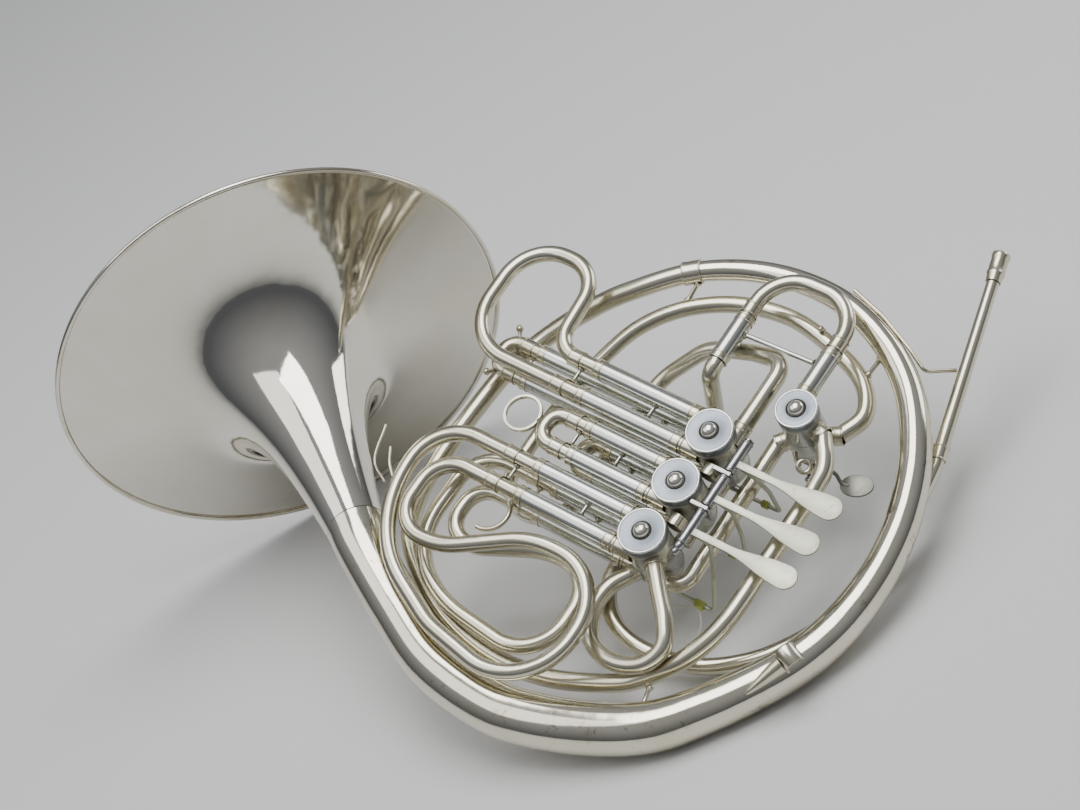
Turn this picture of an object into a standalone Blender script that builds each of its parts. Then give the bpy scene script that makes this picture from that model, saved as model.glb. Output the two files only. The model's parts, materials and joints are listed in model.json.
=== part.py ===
"""Double french horn with four rotary valves, built as separate pieces on one frame.

The horn is laid out in its own design axes, in millimetres:
  u  along the valve slides, positive towards the finger levers
  v  along the row of finger valves, from valve 3 up to valve 1
  w  out of the valve caps; the cap tops lie in the plane w = 0
The middle of valve 2 is u = v = 0. Every object hangs from one empty, which turns the whole
horn from these axes into the pose in which it lies on a table.
"""
import math

import bmesh
import bpy
from mathutils import Matrix, Vector

MM = 0.001  # metres in a millimetre

# ---- Driving dimensions, mm --------------------------------------------------------------------
BELL_RADIUS = 155.5  # half of a 12 1/4 inch bell
BELL_CENTRE = Vector((-334.3, -22.4, -62.0))  # middle of the bell's mouth
BELL_AXIS = Vector((-0.846, 0.512, -0.149)).normalized()  # out of the mouth
BELL_FLARE_LENGTH = 25.0  # how fast the flare narrows behind the mouth
BELL_FLARE_POWER = 1.0
BELL_WALL = 0.8
BELL_DEPTH = 172.0  # from the mouth back to the joint with the bell branch
RIM_WIRE = 1.8  # radius of the wire in the bell's edge

VALVE_PITCH = 37.6  # between neighbouring finger valves
VALVE_V = {1: VALVE_PITCH, 2: 0.0, 3: -VALVE_PITCH}
THUMB_VALVE = (40.2, 73.8)
CASING_RADIUS = 14.8
THUMB_CASING_RADIUS = 13.0
CASING_TOP = -6.5
CASING_BOTTOM = -48.0
CASING_WALL = 1.7
SPINDLE_RADIUS = 2.0

PORT_OFFSET = 10.4  # from a valve's centre line to each leg of its slide
F_LAYER = -15.0  # w of the F slides
B_LAYER = -37.0  # w of the B flat slides, behind them
TUNING_LAYER = -12.0  # w of the main tuning slide
SLEEVE_START = -17.5  # u where the slide sleeves leave the valves
SLEEVE_OUTER = 6.2
SLEEVE_BORE = 5.7
LEG_RADIUS = 5.25
TUBE_RADIUS = 5.8
GAP = 0.3  # clearance between pieces that meet

ROD_U = 24.7  # hinge rod of the finger levers
ROD_W = -4.0
ROD_RADIUS = 1.9
HUB_BORE = 2.4
HUB_RADIUS = 3.6
LEVER_V = {1: 27.0, 2: 1.5, 3: -23.0}
LEVER_HUB_V = {1: (20.4, 42.4), 2: (-5.0, 16.8), 3: (-32.4, -8.6)}
PADDLE_END_U = 101.2
PADDLE_HALF_WIDTH = 7.7
ARM_HALF_WIDTH = 2.3
LEVER_THICKNESS = 1.8
STRING_BAR_W = -56.5
STRING_BAR_OFFSET = 8.6  # beside the valve's spindle
STOP_HUB_RADIUS = 5.2
STRING_RADIUS = 0.6
STRING_W = -55.4

HOOK_TIP = Vector((107.5, -92.0, -16.2))  # on the branch, the sharp end of the finger hook
HOOK_FOOT = Vector((117.8, -67.2, -14.3))  # on the branch, where the hook's strip rises
HOOK_OUT = Vector((0.19, -0.12, 0.97))  # away from the branch
HOOK_RADIUS = 5.4

THUMB_ROD_U = 58.0
THUMB_ROD_W = -34.0

ROUND_STEPS = 24  # facets of casings, caps and rotors
TUBE_STEPS = 16  # facets of the slide sleeves

# ---- Resting pose ------------------------------------------------------------------------------
REST_UP = Vector((-0.3470, 0.2245, 0.9106))  # world up, seen from the design axes
REST_HEADING = Vector((0.95, -0.20, 0.31))  # roughly where world +X points


# ---- Scene and small tools ---------------------------------------------------------------------
def clear_scene():
    for item in list(bpy.data.objects):
        bpy.data.objects.remove(item, do_unlink=True)
    for item in list(bpy.data.collections):
        bpy.data.collections.remove(item)


def new_collection(name):
    made = bpy.data.collections.new(name)
    bpy.context.scene.collection.children.link(made)
    return made


def finish(name, colour, metallic, roughness):
    """A Principled material, made once and shared by the pieces of that finish."""
    found = bpy.data.materials.get(name)
    if found:
        return found
    made = bpy.data.materials.new(name)
    made.use_nodes = True
    shader = made.node_tree.nodes["Principled BSDF"]
    shader.inputs["Base Color"].default_value = (*colour, 1.0)
    shader.inputs["Metallic"].default_value = metallic
    shader.inputs["Roughness"].default_value = roughness
    return made


def tube_metal():
    return finish("nickel_silver_tube", (0.70, 0.67, 0.58), 1.0, 0.22)


def bell_metal():
    return finish("nickel_silver_bell", (0.74, 0.72, 0.66), 1.0, 0.10)


def valve_metal():
    return finish("valve_nickel", (0.72, 0.73, 0.74), 1.0, 0.28)


def lever_metal():
    return finish("lever_satin", (0.80, 0.79, 0.72), 1.0, 0.42)


def steel():
    return finish("linkage_steel", (0.45, 0.45, 0.46), 1.0, 0.25)


def brass():
    return finish("rotor_brass", (0.72, 0.55, 0.28), 1.0, 0.35)


def cord():
    return finish("linkage_cord", (0.70, 0.72, 0.55), 0.0, 0.80)


def mount(item, origin, material, tool=False, smooth=True):
    """Hang an object, whose data is measured from origin, on the horn's empty."""
    (tools if tool else horn).objects.link(item)
    item.parent = frame
    item.location = Vector(origin) * MM
    item.data.materials.append(material)
    if tool:
        item.hide_render = True
        item.display_type = "WIRE"
    if smooth and item.type == "MESH":
        item.data.shade_smooth()
        item.data.set_sharp_from_angle(angle=math.radians(35))
    return item


def upright(axis):
    """The rotation that turns local Z onto an axis."""
    return Vector(axis).to_track_quat("Z", "Y").to_matrix().to_4x4()


def turned(name, profile, origin, axis, material, steps=ROUND_STEPS, tool=False):
    """A turned piece. The profile is (radius, height) in mm, down its outer side."""
    mesh = bpy.data.meshes.new(name)
    points = [(radius * MM, 0.0, height * MM) for radius, height in profile]
    edges = [(i, i + 1) for i in range(len(points) - 1)]
    if profile[0][0] > 0.0:
        edges.append((len(points) - 1, 0))
    mesh.from_pydata(points, edges, [])
    item = bpy.data.objects.new(name, mesh)
    mount(item, origin, material, tool=tool, smooth=False)
    item.rotation_euler = upright(axis).to_euler()
    screw = item.modifiers.new("turn", "SCREW")
    screw.steps = steps
    screw.render_steps = steps
    screw.use_merge_vertices = True
    screw.merge_threshold = 0.00001
    screw.use_smooth_shade = True
    return item


def ring_profile(outer, bore, top, bottom):
    """A plain tube for turned(): down the outside and back up the bore."""
    return [(outer, top), (outer, bottom), (bore, bottom), (bore, top)]


def block(name, low, high, origin, material, tool=False):
    """A box between two corners."""
    low = Vector(low)
    high = Vector(high)
    mesh = bpy.data.meshes.new(name)
    shape = bmesh.new()
    bmesh.ops.create_cube(shape, size=1.0)
    middle = (low + high) / 2.0 - Vector(origin)
    bmesh.ops.scale(shape, vec=(high - low) * MM, verts=shape.verts)
    bmesh.ops.translate(shape, vec=middle * MM, verts=shape.verts)
    shape.to_mesh(mesh)
    shape.free()
    return mount(bpy.data.objects.new(name, mesh), origin, material, tool=tool, smooth=False)


# ---- Paths -------------------------------------------------------------------------------------
def bent(corners, step=24.0):
    """Straight runs joined by arcs. A corner is (u, v, w) or (u, v, w, bend radius)."""
    spots = [Vector(corner[:3]) for corner in corners]
    path = [spots[0]]
    for i in range(1, len(corners) - 1):
        spot = spots[i]
        radius = corners[i][3] if len(corners[i]) > 3 else 10.0
        back = (spots[i - 1] - spot).normalized()
        ahead = (spots[i + 1] - spot).normalized()
        opening = back.angle(ahead)
        turn = math.pi - opening
        reach = radius * math.tan(turn / 2.0)
        middle = spot + (back + ahead).normalized() * (radius / math.sin(opening / 2.0))
        start = spot + back * reach
        spin = back.cross(start - middle).normalized()
        count = max(2, math.ceil(math.degrees(turn) / step))
        for k in range(count + 1):
            swing = Matrix.Rotation(turn * k / count, 3, spin)
            path.append(middle + swing @ (start - middle))
    path.append(spots[-1])
    return path


def smooth(knots, parts=4):
    """A Catmull-Rom curve through hand-placed points."""
    spots = [Vector(knot) for knot in knots]
    spots = [spots[0] * 2.0 - spots[1], *spots, spots[-1] * 2.0 - spots[-2]]
    path = []
    for a, b, c, d in zip(spots, spots[1:], spots[2:], spots[3:]):
        for k in range(parts):
            t = k / parts
            path.append(
                0.5 * (2.0 * b + (c - a) * t + (2.0 * a - 5.0 * b + 4.0 * c - d) * t**2
                       + (3.0 * b - a - 3.0 * c + d) * t**3)
            )
    path.append(spots[-2])
    return path


def taper(path, stations):
    """Radii along a path, straight between (fraction of the length, radius) stations."""
    lengths = [0.0]
    for a, b in zip(path, path[1:]):
        lengths.append(lengths[-1] + (b - a).length)
    radii = []
    for length in lengths:
        here = length / lengths[-1]
        for (f0, r0), (f1, r1) in zip(stations, stations[1:]):
            if here <= f1 + 1e-9:
                radii.append(r0 + (r1 - r0) * (here - f0) / (f1 - f0))
                break
    return radii


def pipe(name, path, radii, material, origin=(0.0, 0.0, 0.0), sides=8, tool=False):
    """A round bar along a path. radii is one radius or one for each point.

    A spare point just inside each end keeps the end faces square to the bar.
    """
    if not isinstance(radii, list):
        radii = [radii] * len(path)
    path = [path[0], path[0].lerp(path[1], 0.3), *path[1:-1], path[-1].lerp(path[-2], 0.3),
            path[-1]]
    radii = [radii[0], radii[0] * 0.7 + radii[1] * 0.3, *radii[1:-1],
             radii[-1] * 0.7 + radii[-2] * 0.3, radii[-1]]
    data = bpy.data.curves.new(name, "CURVE")
    data.dimensions = "3D"
    data.bevel_depth = MM
    data.bevel_resolution = (sides - 4) // 2
    data.use_fill_caps = True
    line = data.splines.new("POLY")
    line.points.add(len(path) - 1)
    for point, spot, radius in zip(line.points, path, radii):
        point.co = (*((spot - Vector(origin)) * MM), 1.0)
        point.radius = radius
    return mount(bpy.data.objects.new(name, data), origin, material, tool=tool)


def as_mesh(item):
    """Turn a curve object into a closed mesh object with the same name and place."""
    bpy.context.view_layer.update()
    graph = bpy.context.evaluated_depsgraph_get()
    mesh = bpy.data.meshes.new_from_object(item.evaluated_get(graph))
    shape = bmesh.new()
    shape.from_mesh(mesh)
    bmesh.ops.remove_doubles(shape, verts=shape.verts, dist=0.000001)
    bmesh.ops.recalc_face_normals(shape, faces=shape.faces)
    shape.to_mesh(mesh)
    shape.free()
    name = item.name
    home = item.users_collection[0]
    made = bpy.data.objects.new(name + "_mesh", mesh)
    home.objects.link(made)
    made.parent = item.parent
    made.location = item.location
    made.rotation_euler = item.rotation_euler
    made.hide_render = item.hide_render
    made.display_type = item.display_type
    bpy.data.objects.remove(item, do_unlink=True)
    made.name = name
    return made


def outline_plate(name, outline, thickness, origin, material, tool=False, axes=None):
    """A flat piece cut to an outline given from its origin, as a closed mesh.

    The outline lies in the u, v plane, or in the plane of the two axes given.
    """
    data = bpy.data.curves.new(name, "CURVE")
    data.dimensions = "2D"
    data.fill_mode = "BOTH"
    data.extrude = thickness / 2.0 * MM
    line = data.splines.new("POLY")
    line.points.add(len(outline) - 1)
    line.use_cyclic_u = True
    for point, (across, up) in zip(line.points, outline):
        point.co = (across * MM, up * MM, 0.0, 1.0)
    item = mount(bpy.data.objects.new(name, data), origin, material, tool)
    if axes:
        right, top = axes
        item.rotation_euler = Matrix((right, top, right.cross(top))).transposed().to_euler()
    return as_mesh(item)


def combine(main, others, operation="UNION"):
    """Boolean modifiers that join the other objects to the main one, or cut them out."""
    for other in others:
        change = main.modifiers.new(operation.lower(), "BOOLEAN")
        change.operation = operation
        change.solver = "EXACT"
        change.object = other
    return main


# ---- Bell --------------------------------------------------------------------------------------
def bell_radius(depth):
    """Outer radius of the flare at a depth behind the mouth."""
    edge = BELL_RADIUS - 2.0 * RIM_WIRE - GAP
    return edge * (1.0 + depth / BELL_FLARE_LENGTH) ** -BELL_FLARE_POWER


def flare_slope(depth):
    """Angle of the flare's wall against the bell's axis."""
    step = 0.01
    return math.atan((bell_radius(depth) - bell_radius(depth + step)) / step)


def make_bell():
    depths = [BELL_DEPTH * (k / 11.0) ** 2.2 for k in range(12)]
    outside = [(bell_radius(depth), -depth) for depth in depths]
    inside = []
    for depth in reversed(depths):
        slope = flare_slope(depth)
        inside.append((bell_radius(depth) - BELL_WALL * math.cos(slope),
                       -depth + BELL_WALL * math.sin(slope)))
    turned("bell_flare", outside + inside, BELL_CENTRE, BELL_AXIS, bell_metal(), steps=36)

    ring_middle = BELL_RADIUS - RIM_WIRE
    wire = []
    for k in range(6):
        angle = math.pi / 2.0 - (k + 0.5) * math.pi / 3.0
        wire.append((ring_middle + RIM_WIRE * math.cos(angle), RIM_WIRE * math.sin(angle)))
    turned("bell_rim_wire", wire, BELL_CENTRE, BELL_AXIS, bell_metal(), steps=36)


def bell_line(depth):
    """A point on the bell's axis behind the mouth."""
    return BELL_CENTRE - BELL_AXIS * depth


# The branch's middle line and outer radius, from the bell to the ferrule at its small end.
BRANCH_KNOTS = [
    (-171.6, -123.2, -35.0, 17.6),
    (-129.0, -143.4, -38.0, 17.3),
    (-86.5, -161.5, -38.5, 17.2),
    (-38.0, -167.5, -36.5, 17.0),
    (-4.0, -162.0, -35.0, 16.8),
    (33.0, -149.0, -32.5, 16.3),
    (62.5, -132.5, -30.5, 15.6),
    (83.0, -111.0, -29.5, 14.7),
    (101.0, -87.5, -28.5, 13.9),
    (117.0, -61.0, -28.0, 13.3),
    (127.0, -33.0, -28.0, 12.8),
    (131.0, -4.0, -28.0, 12.0),
    (130.0, 25.0, -28.0, 11.3),
    (123.5, 56.0, -28.0, 10.8),
    (109.0, 90.0, -28.0, 10.2),
    (84.0, 124.0, -28.0, 9.4),
    (50.0, 148.0, -28.0, 8.5),
    (8.0, 161.5, -28.0, 7.9),
    (-40.0, 159.0, -28.0, 7.3),
    (-84.0, 140.5, -28.0, 6.8),
]
TAIL_KNOTS = [
    (-120.0, 110.0, -31.5),
    (-141.0, 90.0, -39.0),
    (-161.0, 66.0, -49.0),
    (-173.0, 34.0, -51.5),
    (-176.0, -6.0, -51.0),
    (-176.0, -42.0, -51.0),
    (-172.0, -71.0, -51.0),
    (-159.5, -97.0, -51.0),
    (-133.0, -117.0, -50.5),
    (-102.0, -131.0, -50.5),
    (-61.0, -137.5, -50.0),
    (-19.0, -133.0, -46.5),
    (20.5, -117.0, -43.5),
    (39.0, -105.0, -37.5),
    (57.5, -89.0, -26.0),
    (69.3, -62.4, -20.0),
    (71.1, -18.7, -19.0),
    (71.1, 17.3, -19.0),
    (71.3, 37.0, -18.0),
    (70.0, 53.0, -15.5),
    (57.8, 71.0, -15.0),
]


def make_branch():
    """The widening tube from the thumb valve round to the bell, in three lengths."""
    joint = BELL_DEPTH + GAP
    path = [bell_line(joint)]
    path += smooth([bell_line(joint + 9.0), *[knot[:3] for knot in BRANCH_KNOTS]], 2)
    radii = [bell_radius(BELL_DEPTH) - 0.2, bell_radius(BELL_DEPTH) - 0.4]
    for (*_, here), (*_, after) in zip([(0.0, radii[1]), *BRANCH_KNOTS], BRANCH_KNOTS):
        radii += [(here + after) / 2.0, after]
    pipe("bell_branch", path, radii, bell_metal(), sides=12)

    end = path[-1]
    ahead = (end - path[-2]).normalized()
    turned("branch_ferrule", [(7.8, 6.0), (7.8, -6.0), (7.1, -6.0), (7.1, 6.0)],
           end + ahead * 5.0, ahead, tube_metal(), steps=TUBE_STEPS)

    first = end + ahead * GAP
    path = [first, *smooth([first + ahead * 12.5, *TAIL_KNOTS], 2)]
    radii = taper(path, [(0.0, 6.6), (0.5, 6.1), (1.0, TUBE_RADIUS)])
    pipe("bell_tail", path, radii, tube_metal())


# ---- Leadpipe ----------------------------------------------------------------------------------
RECEIVER_END = Vector((79.7, 237.4, -40.3))
LEADPIPE_JOINT = Vector((116.0, 98.7, -44.9))
LEADPIPE_KNOTS = [
    (121.0, 60.0, -46.5),
    (121.5, 20.0, -48.5),
    (112.5, -18.0, -50.0),
    (98.0, -46.0, -50.5),
    (80.0, -67.0, -50.5),
    (55.0, -83.0, -50.5),
    (20.0, -89.0, -50.5),
    (-6.0, -83.0, -50.5),
    (-22.0, -66.0, -50.5),
    (-26.5, -44.0, -50.5),
    (-26.5, 0.0, -50.5),
    (-26.5, 40.0, -50.5),
]


def make_leadpipe():
    down = (LEADPIPE_JOINT - RECEIVER_END).normalized()
    turned("mouthpiece_receiver",
           [(5.9, 0.0), (5.9, -14.0), (5.2, -16.0), (5.2, -20.0), (3.6, -20.0), (4.4, 0.0)],
           RECEIVER_END, -down, tube_metal(), steps=TUBE_STEPS)
    start = RECEIVER_END + down * (20.0 + GAP)
    path = [start, start.lerp(LEADPIPE_JOINT, 0.5), LEADPIPE_JOINT - down * 4.0]
    pipe("leadpipe", path, taper(path, [(0.0, 4.1), (1.0, 4.5)]), tube_metal(), sides=10)
    joint = LEADPIPE_JOINT - down * (4.0 - GAP)
    path = [joint, *smooth([joint + down * 8.0, *LEADPIPE_KNOTS], 2)]
    radii = taper(path, [(0.0, 4.5), (0.5, 5.4), (1.0, 5.6)])
    pipe("leadpipe_branch", path, radii, tube_metal())

    path = bent([
        (-26.5, 40.0 + GAP, -50.5),
        (-26.5, 64.5, -50.5, 8.0),
        (-28.0, 70.0, -34.0, 8.0),
        (-28.5, 76.0, TUNING_LAYER, 8.0),
        (-28.5, 84.7, TUNING_LAYER),
    ])
    pipe("tuning_crook", path, 5.6, tube_metal())


# ---- Main tuning slide -------------------------------------------------------------------------
TUNING_U = (-28.5, 34.3)
TUNING_SLEEVE_V = ((85.0, 119.0), (87.6, 121.0))


def make_main_tuning_slide():
    sleeves = []
    for side, (u, (low, high)) in enumerate(zip(TUNING_U, TUNING_SLEEVE_V)):
        name = "main_tuning_sleeves" if side == 0 else "main_tuning_sleeve_right"
        profile = ring_profile(SLEEVE_OUTER, SLEEVE_BORE, high - low, 0.0)
        sleeves.append(turned(name, profile, (u, low, TUNING_LAYER), (0, 1, 0), tube_metal(),
                              steps=TUBE_STEPS, tool=side == 1))
    left, right = TUNING_U
    reach = 5.9
    brace = pipe("main_tuning_brace",
                 [Vector((left + reach, 108.0, TUNING_LAYER)),
                  Vector((right - reach, 109.5, TUNING_LAYER))],
                 1.0, tube_metal(), tool=True)
    combine(sleeves[0], [sleeves[1], as_mesh(brace)])

    path = bent([
        (left, 90.0, TUNING_LAYER),
        (left, 156.0, TUNING_LAYER, 26.0),
        (right, 156.0, TUNING_LAYER, 26.0),
        (right, 92.0, TUNING_LAYER),
    ], step=15.0)
    origin = ((left + right) / 2.0, 120.0, TUNING_LAYER)
    pipe("main_tuning_slide", path, LEG_RADIUS, tube_metal(), origin=origin)


# ---- Valve slides ------------------------------------------------------------------------------
# For each slide: the u where its sleeves end, and the corners of its bow from the upper leg
# round to the lower leg, measured in u and in v from the valve's centre line.
P = PORT_OFFSET
F_SLIDES = {
    1: (-97.0, [(-131.0, P, 18.0), (-135.5, 70.0, 25.0), (-193.0, 70.0, 30.0),
                (-193.0, -P, 35.0)]),
    2: (-78.0, [(-104.5, P, 10.0), (-104.5, -P, 10.0)]),
    3: (-92.0, [(-171.0, P, 32.0), (-171.0, -72.5, 80.0), (-93.0, -108.8, 60.0),
                (-6.0, -124.0, 42.0), (-6.0, -31.0, 39.0), (-66.0, -31.0, 60.0),
                (-118.0, -63.5, 50.0), (-155.0, -63.5, 22.0), (-155.0, -P, 22.0)]),
}
B_SLIDES = {
    1: (-150.0, [(-175.0, P, 9.5), (-175.0, -P, 9.5)]),
    2: (-70.0, [(-84.5, P, 9.5), (-84.5, -P, 9.5)]),
    3: (-86.0, [(-147.5, P, 26.0), (-147.5, -65.4, 50.0), (-105.0, -88.0, 80.0),
                (-27.0, -95.3, 30.0), (-27.0, -28.4, 26.0), (-66.0, -28.4, 60.0),
                (-108.0, -47.4, 26.0), (-133.0, -47.4, 17.0), (-133.0, -P, 17.0)]),
}
RING_RADIUS = 11.6
RING_WIRE = 1.3


def slide_path(number, layer, corners):
    v = VALVE_V[number]
    inside = SLEEVE_START - 8.0
    return bent([(inside, v + P, layer),
                 *[(u, v + dv, layer, radius) for u, dv, radius in corners],
                 (inside, v - P, layer)])


def ring_path(middle, radius, first, last, count):
    """Points round a circle in the u, v plane."""
    path = []
    for k in range(count + 1):
        angle = math.radians(first + (last - first) * k / count)
        path.append(Vector(middle) + radius * Vector((math.cos(angle), math.sin(angle), 0.0)))
    return path


def make_valve_slide(prefix, number, layer, sleeve_end, corners):
    v = VALVE_V[number]
    length = SLEEVE_START - sleeve_end
    profile = ring_profile(SLEEVE_OUTER, SLEEVE_BORE, length, 0.0)
    name = f"{prefix}_sleeves_{number}"
    upper = turned(name, profile, (SLEEVE_START, v + P, layer), (-1, 0, 0), tube_metal(),
                   steps=TUBE_STEPS)
    lower = turned(name + "_lower", profile, (SLEEVE_START, v - P, layer), (-1, 0, 0),
                   tube_metal(), steps=TUBE_STEPS, tool=True)
    reach = P - 5.9
    brace = pipe(name + "_brace",
                 [Vector((-48.0, v + reach, layer)), Vector((-48.0, v - reach, layer))],
                 1.0, tube_metal(), tool=True)
    combine(upper, [lower, as_mesh(brace)])
    path = slide_path(number, layer, corners)
    pipe(f"{prefix}_slide_{number}", path, LEG_RADIUS, tube_metal(), origin=(sleeve_end, v, layer))


def make_slides():
    for number, (sleeve_end, corners) in F_SLIDES.items():
        make_valve_slide("f", number, F_LAYER, sleeve_end, corners)
    for number, (sleeve_end, corners) in B_SLIDES.items():
        make_valve_slide("b_flat", number, B_LAYER, sleeve_end, corners)
    middle = (-104.5 - LEG_RADIUS - GAP - RING_WIRE - RING_RADIUS, VALVE_V[2], F_LAYER)
    make_ring("f_pull_ring_2", middle)


def make_ring(name, middle):
    profile = []
    for k in range(6):
        angle = math.pi / 2.0 - (k + 0.5) * math.pi / 3.0
        profile.append((RING_RADIUS + RING_WIRE * math.cos(angle), RING_WIRE * math.sin(angle)))
    turned(name, profile, middle, (0, 0, 1), tube_metal(), steps=ROUND_STEPS)


# ---- Valves ------------------------------------------------------------------------------------
def valve_places():
    """Number, centre and casing radius of each valve."""
    for number, v in VALVE_V.items():
        yield number, (0.0, v, 0.0), CASING_RADIUS
    yield 4, (*THUMB_VALVE, 0.0), THUMB_CASING_RADIUS


def make_valve(number, centre, radius):
    bore = radius - CASING_WALL
    floor = CASING_BOTTOM + 2.5
    turned(f"valve_casing_{number}",
           [(radius, CASING_TOP), (radius, CASING_BOTTOM), (SPINDLE_RADIUS + 0.6, CASING_BOTTOM),
            (SPINDLE_RADIUS + 0.6, floor), (bore, floor), (bore, CASING_TOP)],
           centre, (0, 0, 1), valve_metal())
    rotor = turned(f"rotor_{number}",
                   [(0.0, CASING_TOP - 1.0), (bore - 0.5, CASING_TOP - 1.0),
                    (bore - 0.5, floor + 0.5), (SPINDLE_RADIUS, floor + 0.5),
                    (SPINDLE_RADIUS, -49.5), (0.0, -49.5)],
                   centre, (0, 0, 1), brass())
    cutters = []
    for layer in (F_LAYER, B_LAYER):
        for side in (-1, 1):
            u = side * (bore - 1.5)
            spot = Vector(centre) + Vector((u, -18.0, layer))
            cutters.append(turned(f"rotor_{number}_passage_{len(cutters)}",
                                  [(0.0, 36.0), (4.6, 36.0), (4.6, 0.0), (0.0, 0.0)],
                                  spot, (0, 1, 0), brass(), steps=8, tool=True))
    combine(rotor, cutters, "DIFFERENCE")

    cap = radius + 0.4
    turned(f"valve_cap_{number}",
           [(0.0, 3.9), (2.4, 3.3), (4.0, 1.8), (4.5, 0.0), (cap - 0.7, 0.0), (cap, -0.7),
            (cap, CASING_TOP + GAP), (0.0, CASING_TOP + GAP)],
           centre, (0, 0, 1), valve_metal())

    hub = turned(f"stop_arm_{number}",
                 [(0.0, -49.8), (STOP_HUB_RADIUS, -49.8), (STOP_HUB_RADIUS, -57.5), (0.0, -57.5)],
                 centre, (0, 0, 1), steel(), steps=TUBE_STEPS)
    low = Vector(centre) + Vector(STOP_FINGER_LOW[number])
    high = Vector(centre) + Vector(STOP_FINGER_HIGH[number])
    finger = block(f"stop_arm_{number}_finger", low, high, centre, steel(), tool=True)
    combine(hub, [finger])


# The finger of each stop arm, as two corners from the valve's centre. The finger valves' ones
# rest pointing along -u; the thumb valve's one rests pointing along +v.
STOP_FINGER_LOW = {n: (-13.5, -2.2, -52.3) for n in (1, 2, 3)} | {4: (-2.2, 1.0, -52.3)}
STOP_FINGER_HIGH = {n: (-1.0, 2.2, -50.3) for n in (1, 2, 3)} | {4: (2.2, 12.5, -50.3)}


def make_valves():
    for number, centre, radius in valve_places():
        make_valve(number, centre, radius)


def make_connecting_tubes():
    """The tubes that join the valves to each other."""
    for pair, v in (("1_2", VALVE_PITCH / 2.0), ("2_3", -VALVE_PITCH / 2.0)):
        for side, layer in (("f", F_LAYER), ("b_flat", B_LAYER)):
            half = 3.9
            path = [Vector((9.0, v + half, layer)), Vector((9.0, v - half, layer))]
            pipe(f"knuckle_{side}_{pair}", path, TUBE_RADIUS, tube_metal(), sides=12)

    path = bent([
        (10.5, 52.4, F_LAYER),
        (10.5, 104.0, F_LAYER, 13.0),
        (-17.0, 104.0, -24.0, 20.0),
        (-48.0, 97.0, -30.0, 34.0),
        (-76.0, 72.0, -52.0, 26.0),
        (-76.0, -47.5, -52.0, 25.0),
        (-126.5, -47.5, -51.5, 25.0),
        (-126.5, 10.0, -51.5),
    ])
    radii = taper(path, [(0.0, TUBE_RADIUS), (0.4, 5.2), (1.0, 4.8)])
    pipe("valve_1_return_tube", path, radii, tube_metal())

    path = [Vector((-126.5, 10.0 + GAP, -51.5))]
    path += smooth([
        (-126.5, 18.0, -51.5),
        (-124.0, 36.0, -50.5),
        (-117.5, 62.0, -46.0),
        (-104.0, 93.0, -40.0),
        (-82.0, 117.0, -37.0),
        (-51.0, 134.5, -37.0),
        (-13.0, 140.5, -37.0),
        (24.0, 132.5, -37.0),
        (50.5, 120.5, -37.0),
        (63.5, 101.5, -37.0),
        (57.5, 83.0, -37.0),
    ], 3)
    radii = taper(path, [(0.0, 4.7), (0.5, 5.6), (1.0, 5.8)])
    pipe("top_inner_loop", path, radii, tube_metal())

    pipe("valve_3_feed_tube",
         bent([(28.5, 60.4, -32.0), (27.0, -48.5, B_LAYER, 11.0), (14.3, -48.5, B_LAYER)]),
         5.5, tube_metal())

    path = smooth([
        (12.0, -48.0, F_LAYER),
        (25.0, -62.0, -15.3),
        (38.0, -76.0, -16.0),
        (45.5, -90.5, -19.0),
        (37.5, -104.0, -24.0),
        (19.0, -110.0, -28.0),
        (-2.0, -104.5, -32.0),
        (-14.5, -88.0, -35.5),
        (-16.0, -69.0, B_LAYER),
        (-7.5, -52.8, B_LAYER),
    ], 3)
    pipe("valve_3_loop", path, 5.6, tube_metal())


# ---- Levers and linkage ------------------------------------------------------------------------
def paddle_outline():
    """The finger lever seen from above: a narrow arm that widens into a round paddle."""
    start = 2.9
    end = PADDLE_END_U - ROD_U
    round_u = end - PADDLE_HALF_WIDTH
    upper = []
    for k in range(9):
        u = start + (round_u - start) * k / 8.0
        t = max(0.0, (u - 27.0) / (round_u - 27.0))
        ease = t * t * (3.0 - 2.0 * t)
        upper.append((u, ARM_HALF_WIDTH + (PADDLE_HALF_WIDTH - ARM_HALF_WIDTH) * ease))
    for k in range(1, 4):
        angle = math.pi / 2.0 * (1.0 - k / 4.0)
        upper.append((round_u + PADDLE_HALF_WIDTH * math.cos(angle),
                      PADDLE_HALF_WIDTH * math.sin(angle)))
    lower = [(u, -half) for u, half in reversed(upper)]
    return [*upper, (end, 0.0), *lower]


def make_lever(number):
    v = LEVER_V[number]
    low, high = LEVER_HUB_V[number]
    origin = (ROD_U, v, ROD_W)
    name = f"lever_{number}"
    hub = turned(name, ring_profile(HUB_RADIUS, HUB_BORE, high - v, low - v), origin, (0, 1, 0),
                 lever_metal(), steps=TUBE_STEPS)
    plate = outline_plate(name + "_plate", paddle_outline(), LEVER_THICKNESS,
                          (ROD_U, v, ROD_W + 1.0), lever_metal(), tool=True)
    bar_v = VALVE_V[number] - STRING_BAR_OFFSET
    tail = pipe(name + "_tail", bent([
        (27.1, v, -5.7),
        (37.5, v, -13.2, 6.0),
        (43.0, (v + bar_v) / 2.0, -28.0, 8.0),
        (43.0, bar_v, STRING_BAR_W, 4.0),
        (-5.0, bar_v, STRING_BAR_W),
    ], step=30.0), 1.4, lever_metal(), origin=origin, tool=True)
    combine(hub, [plate, as_mesh(tail)])


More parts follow.
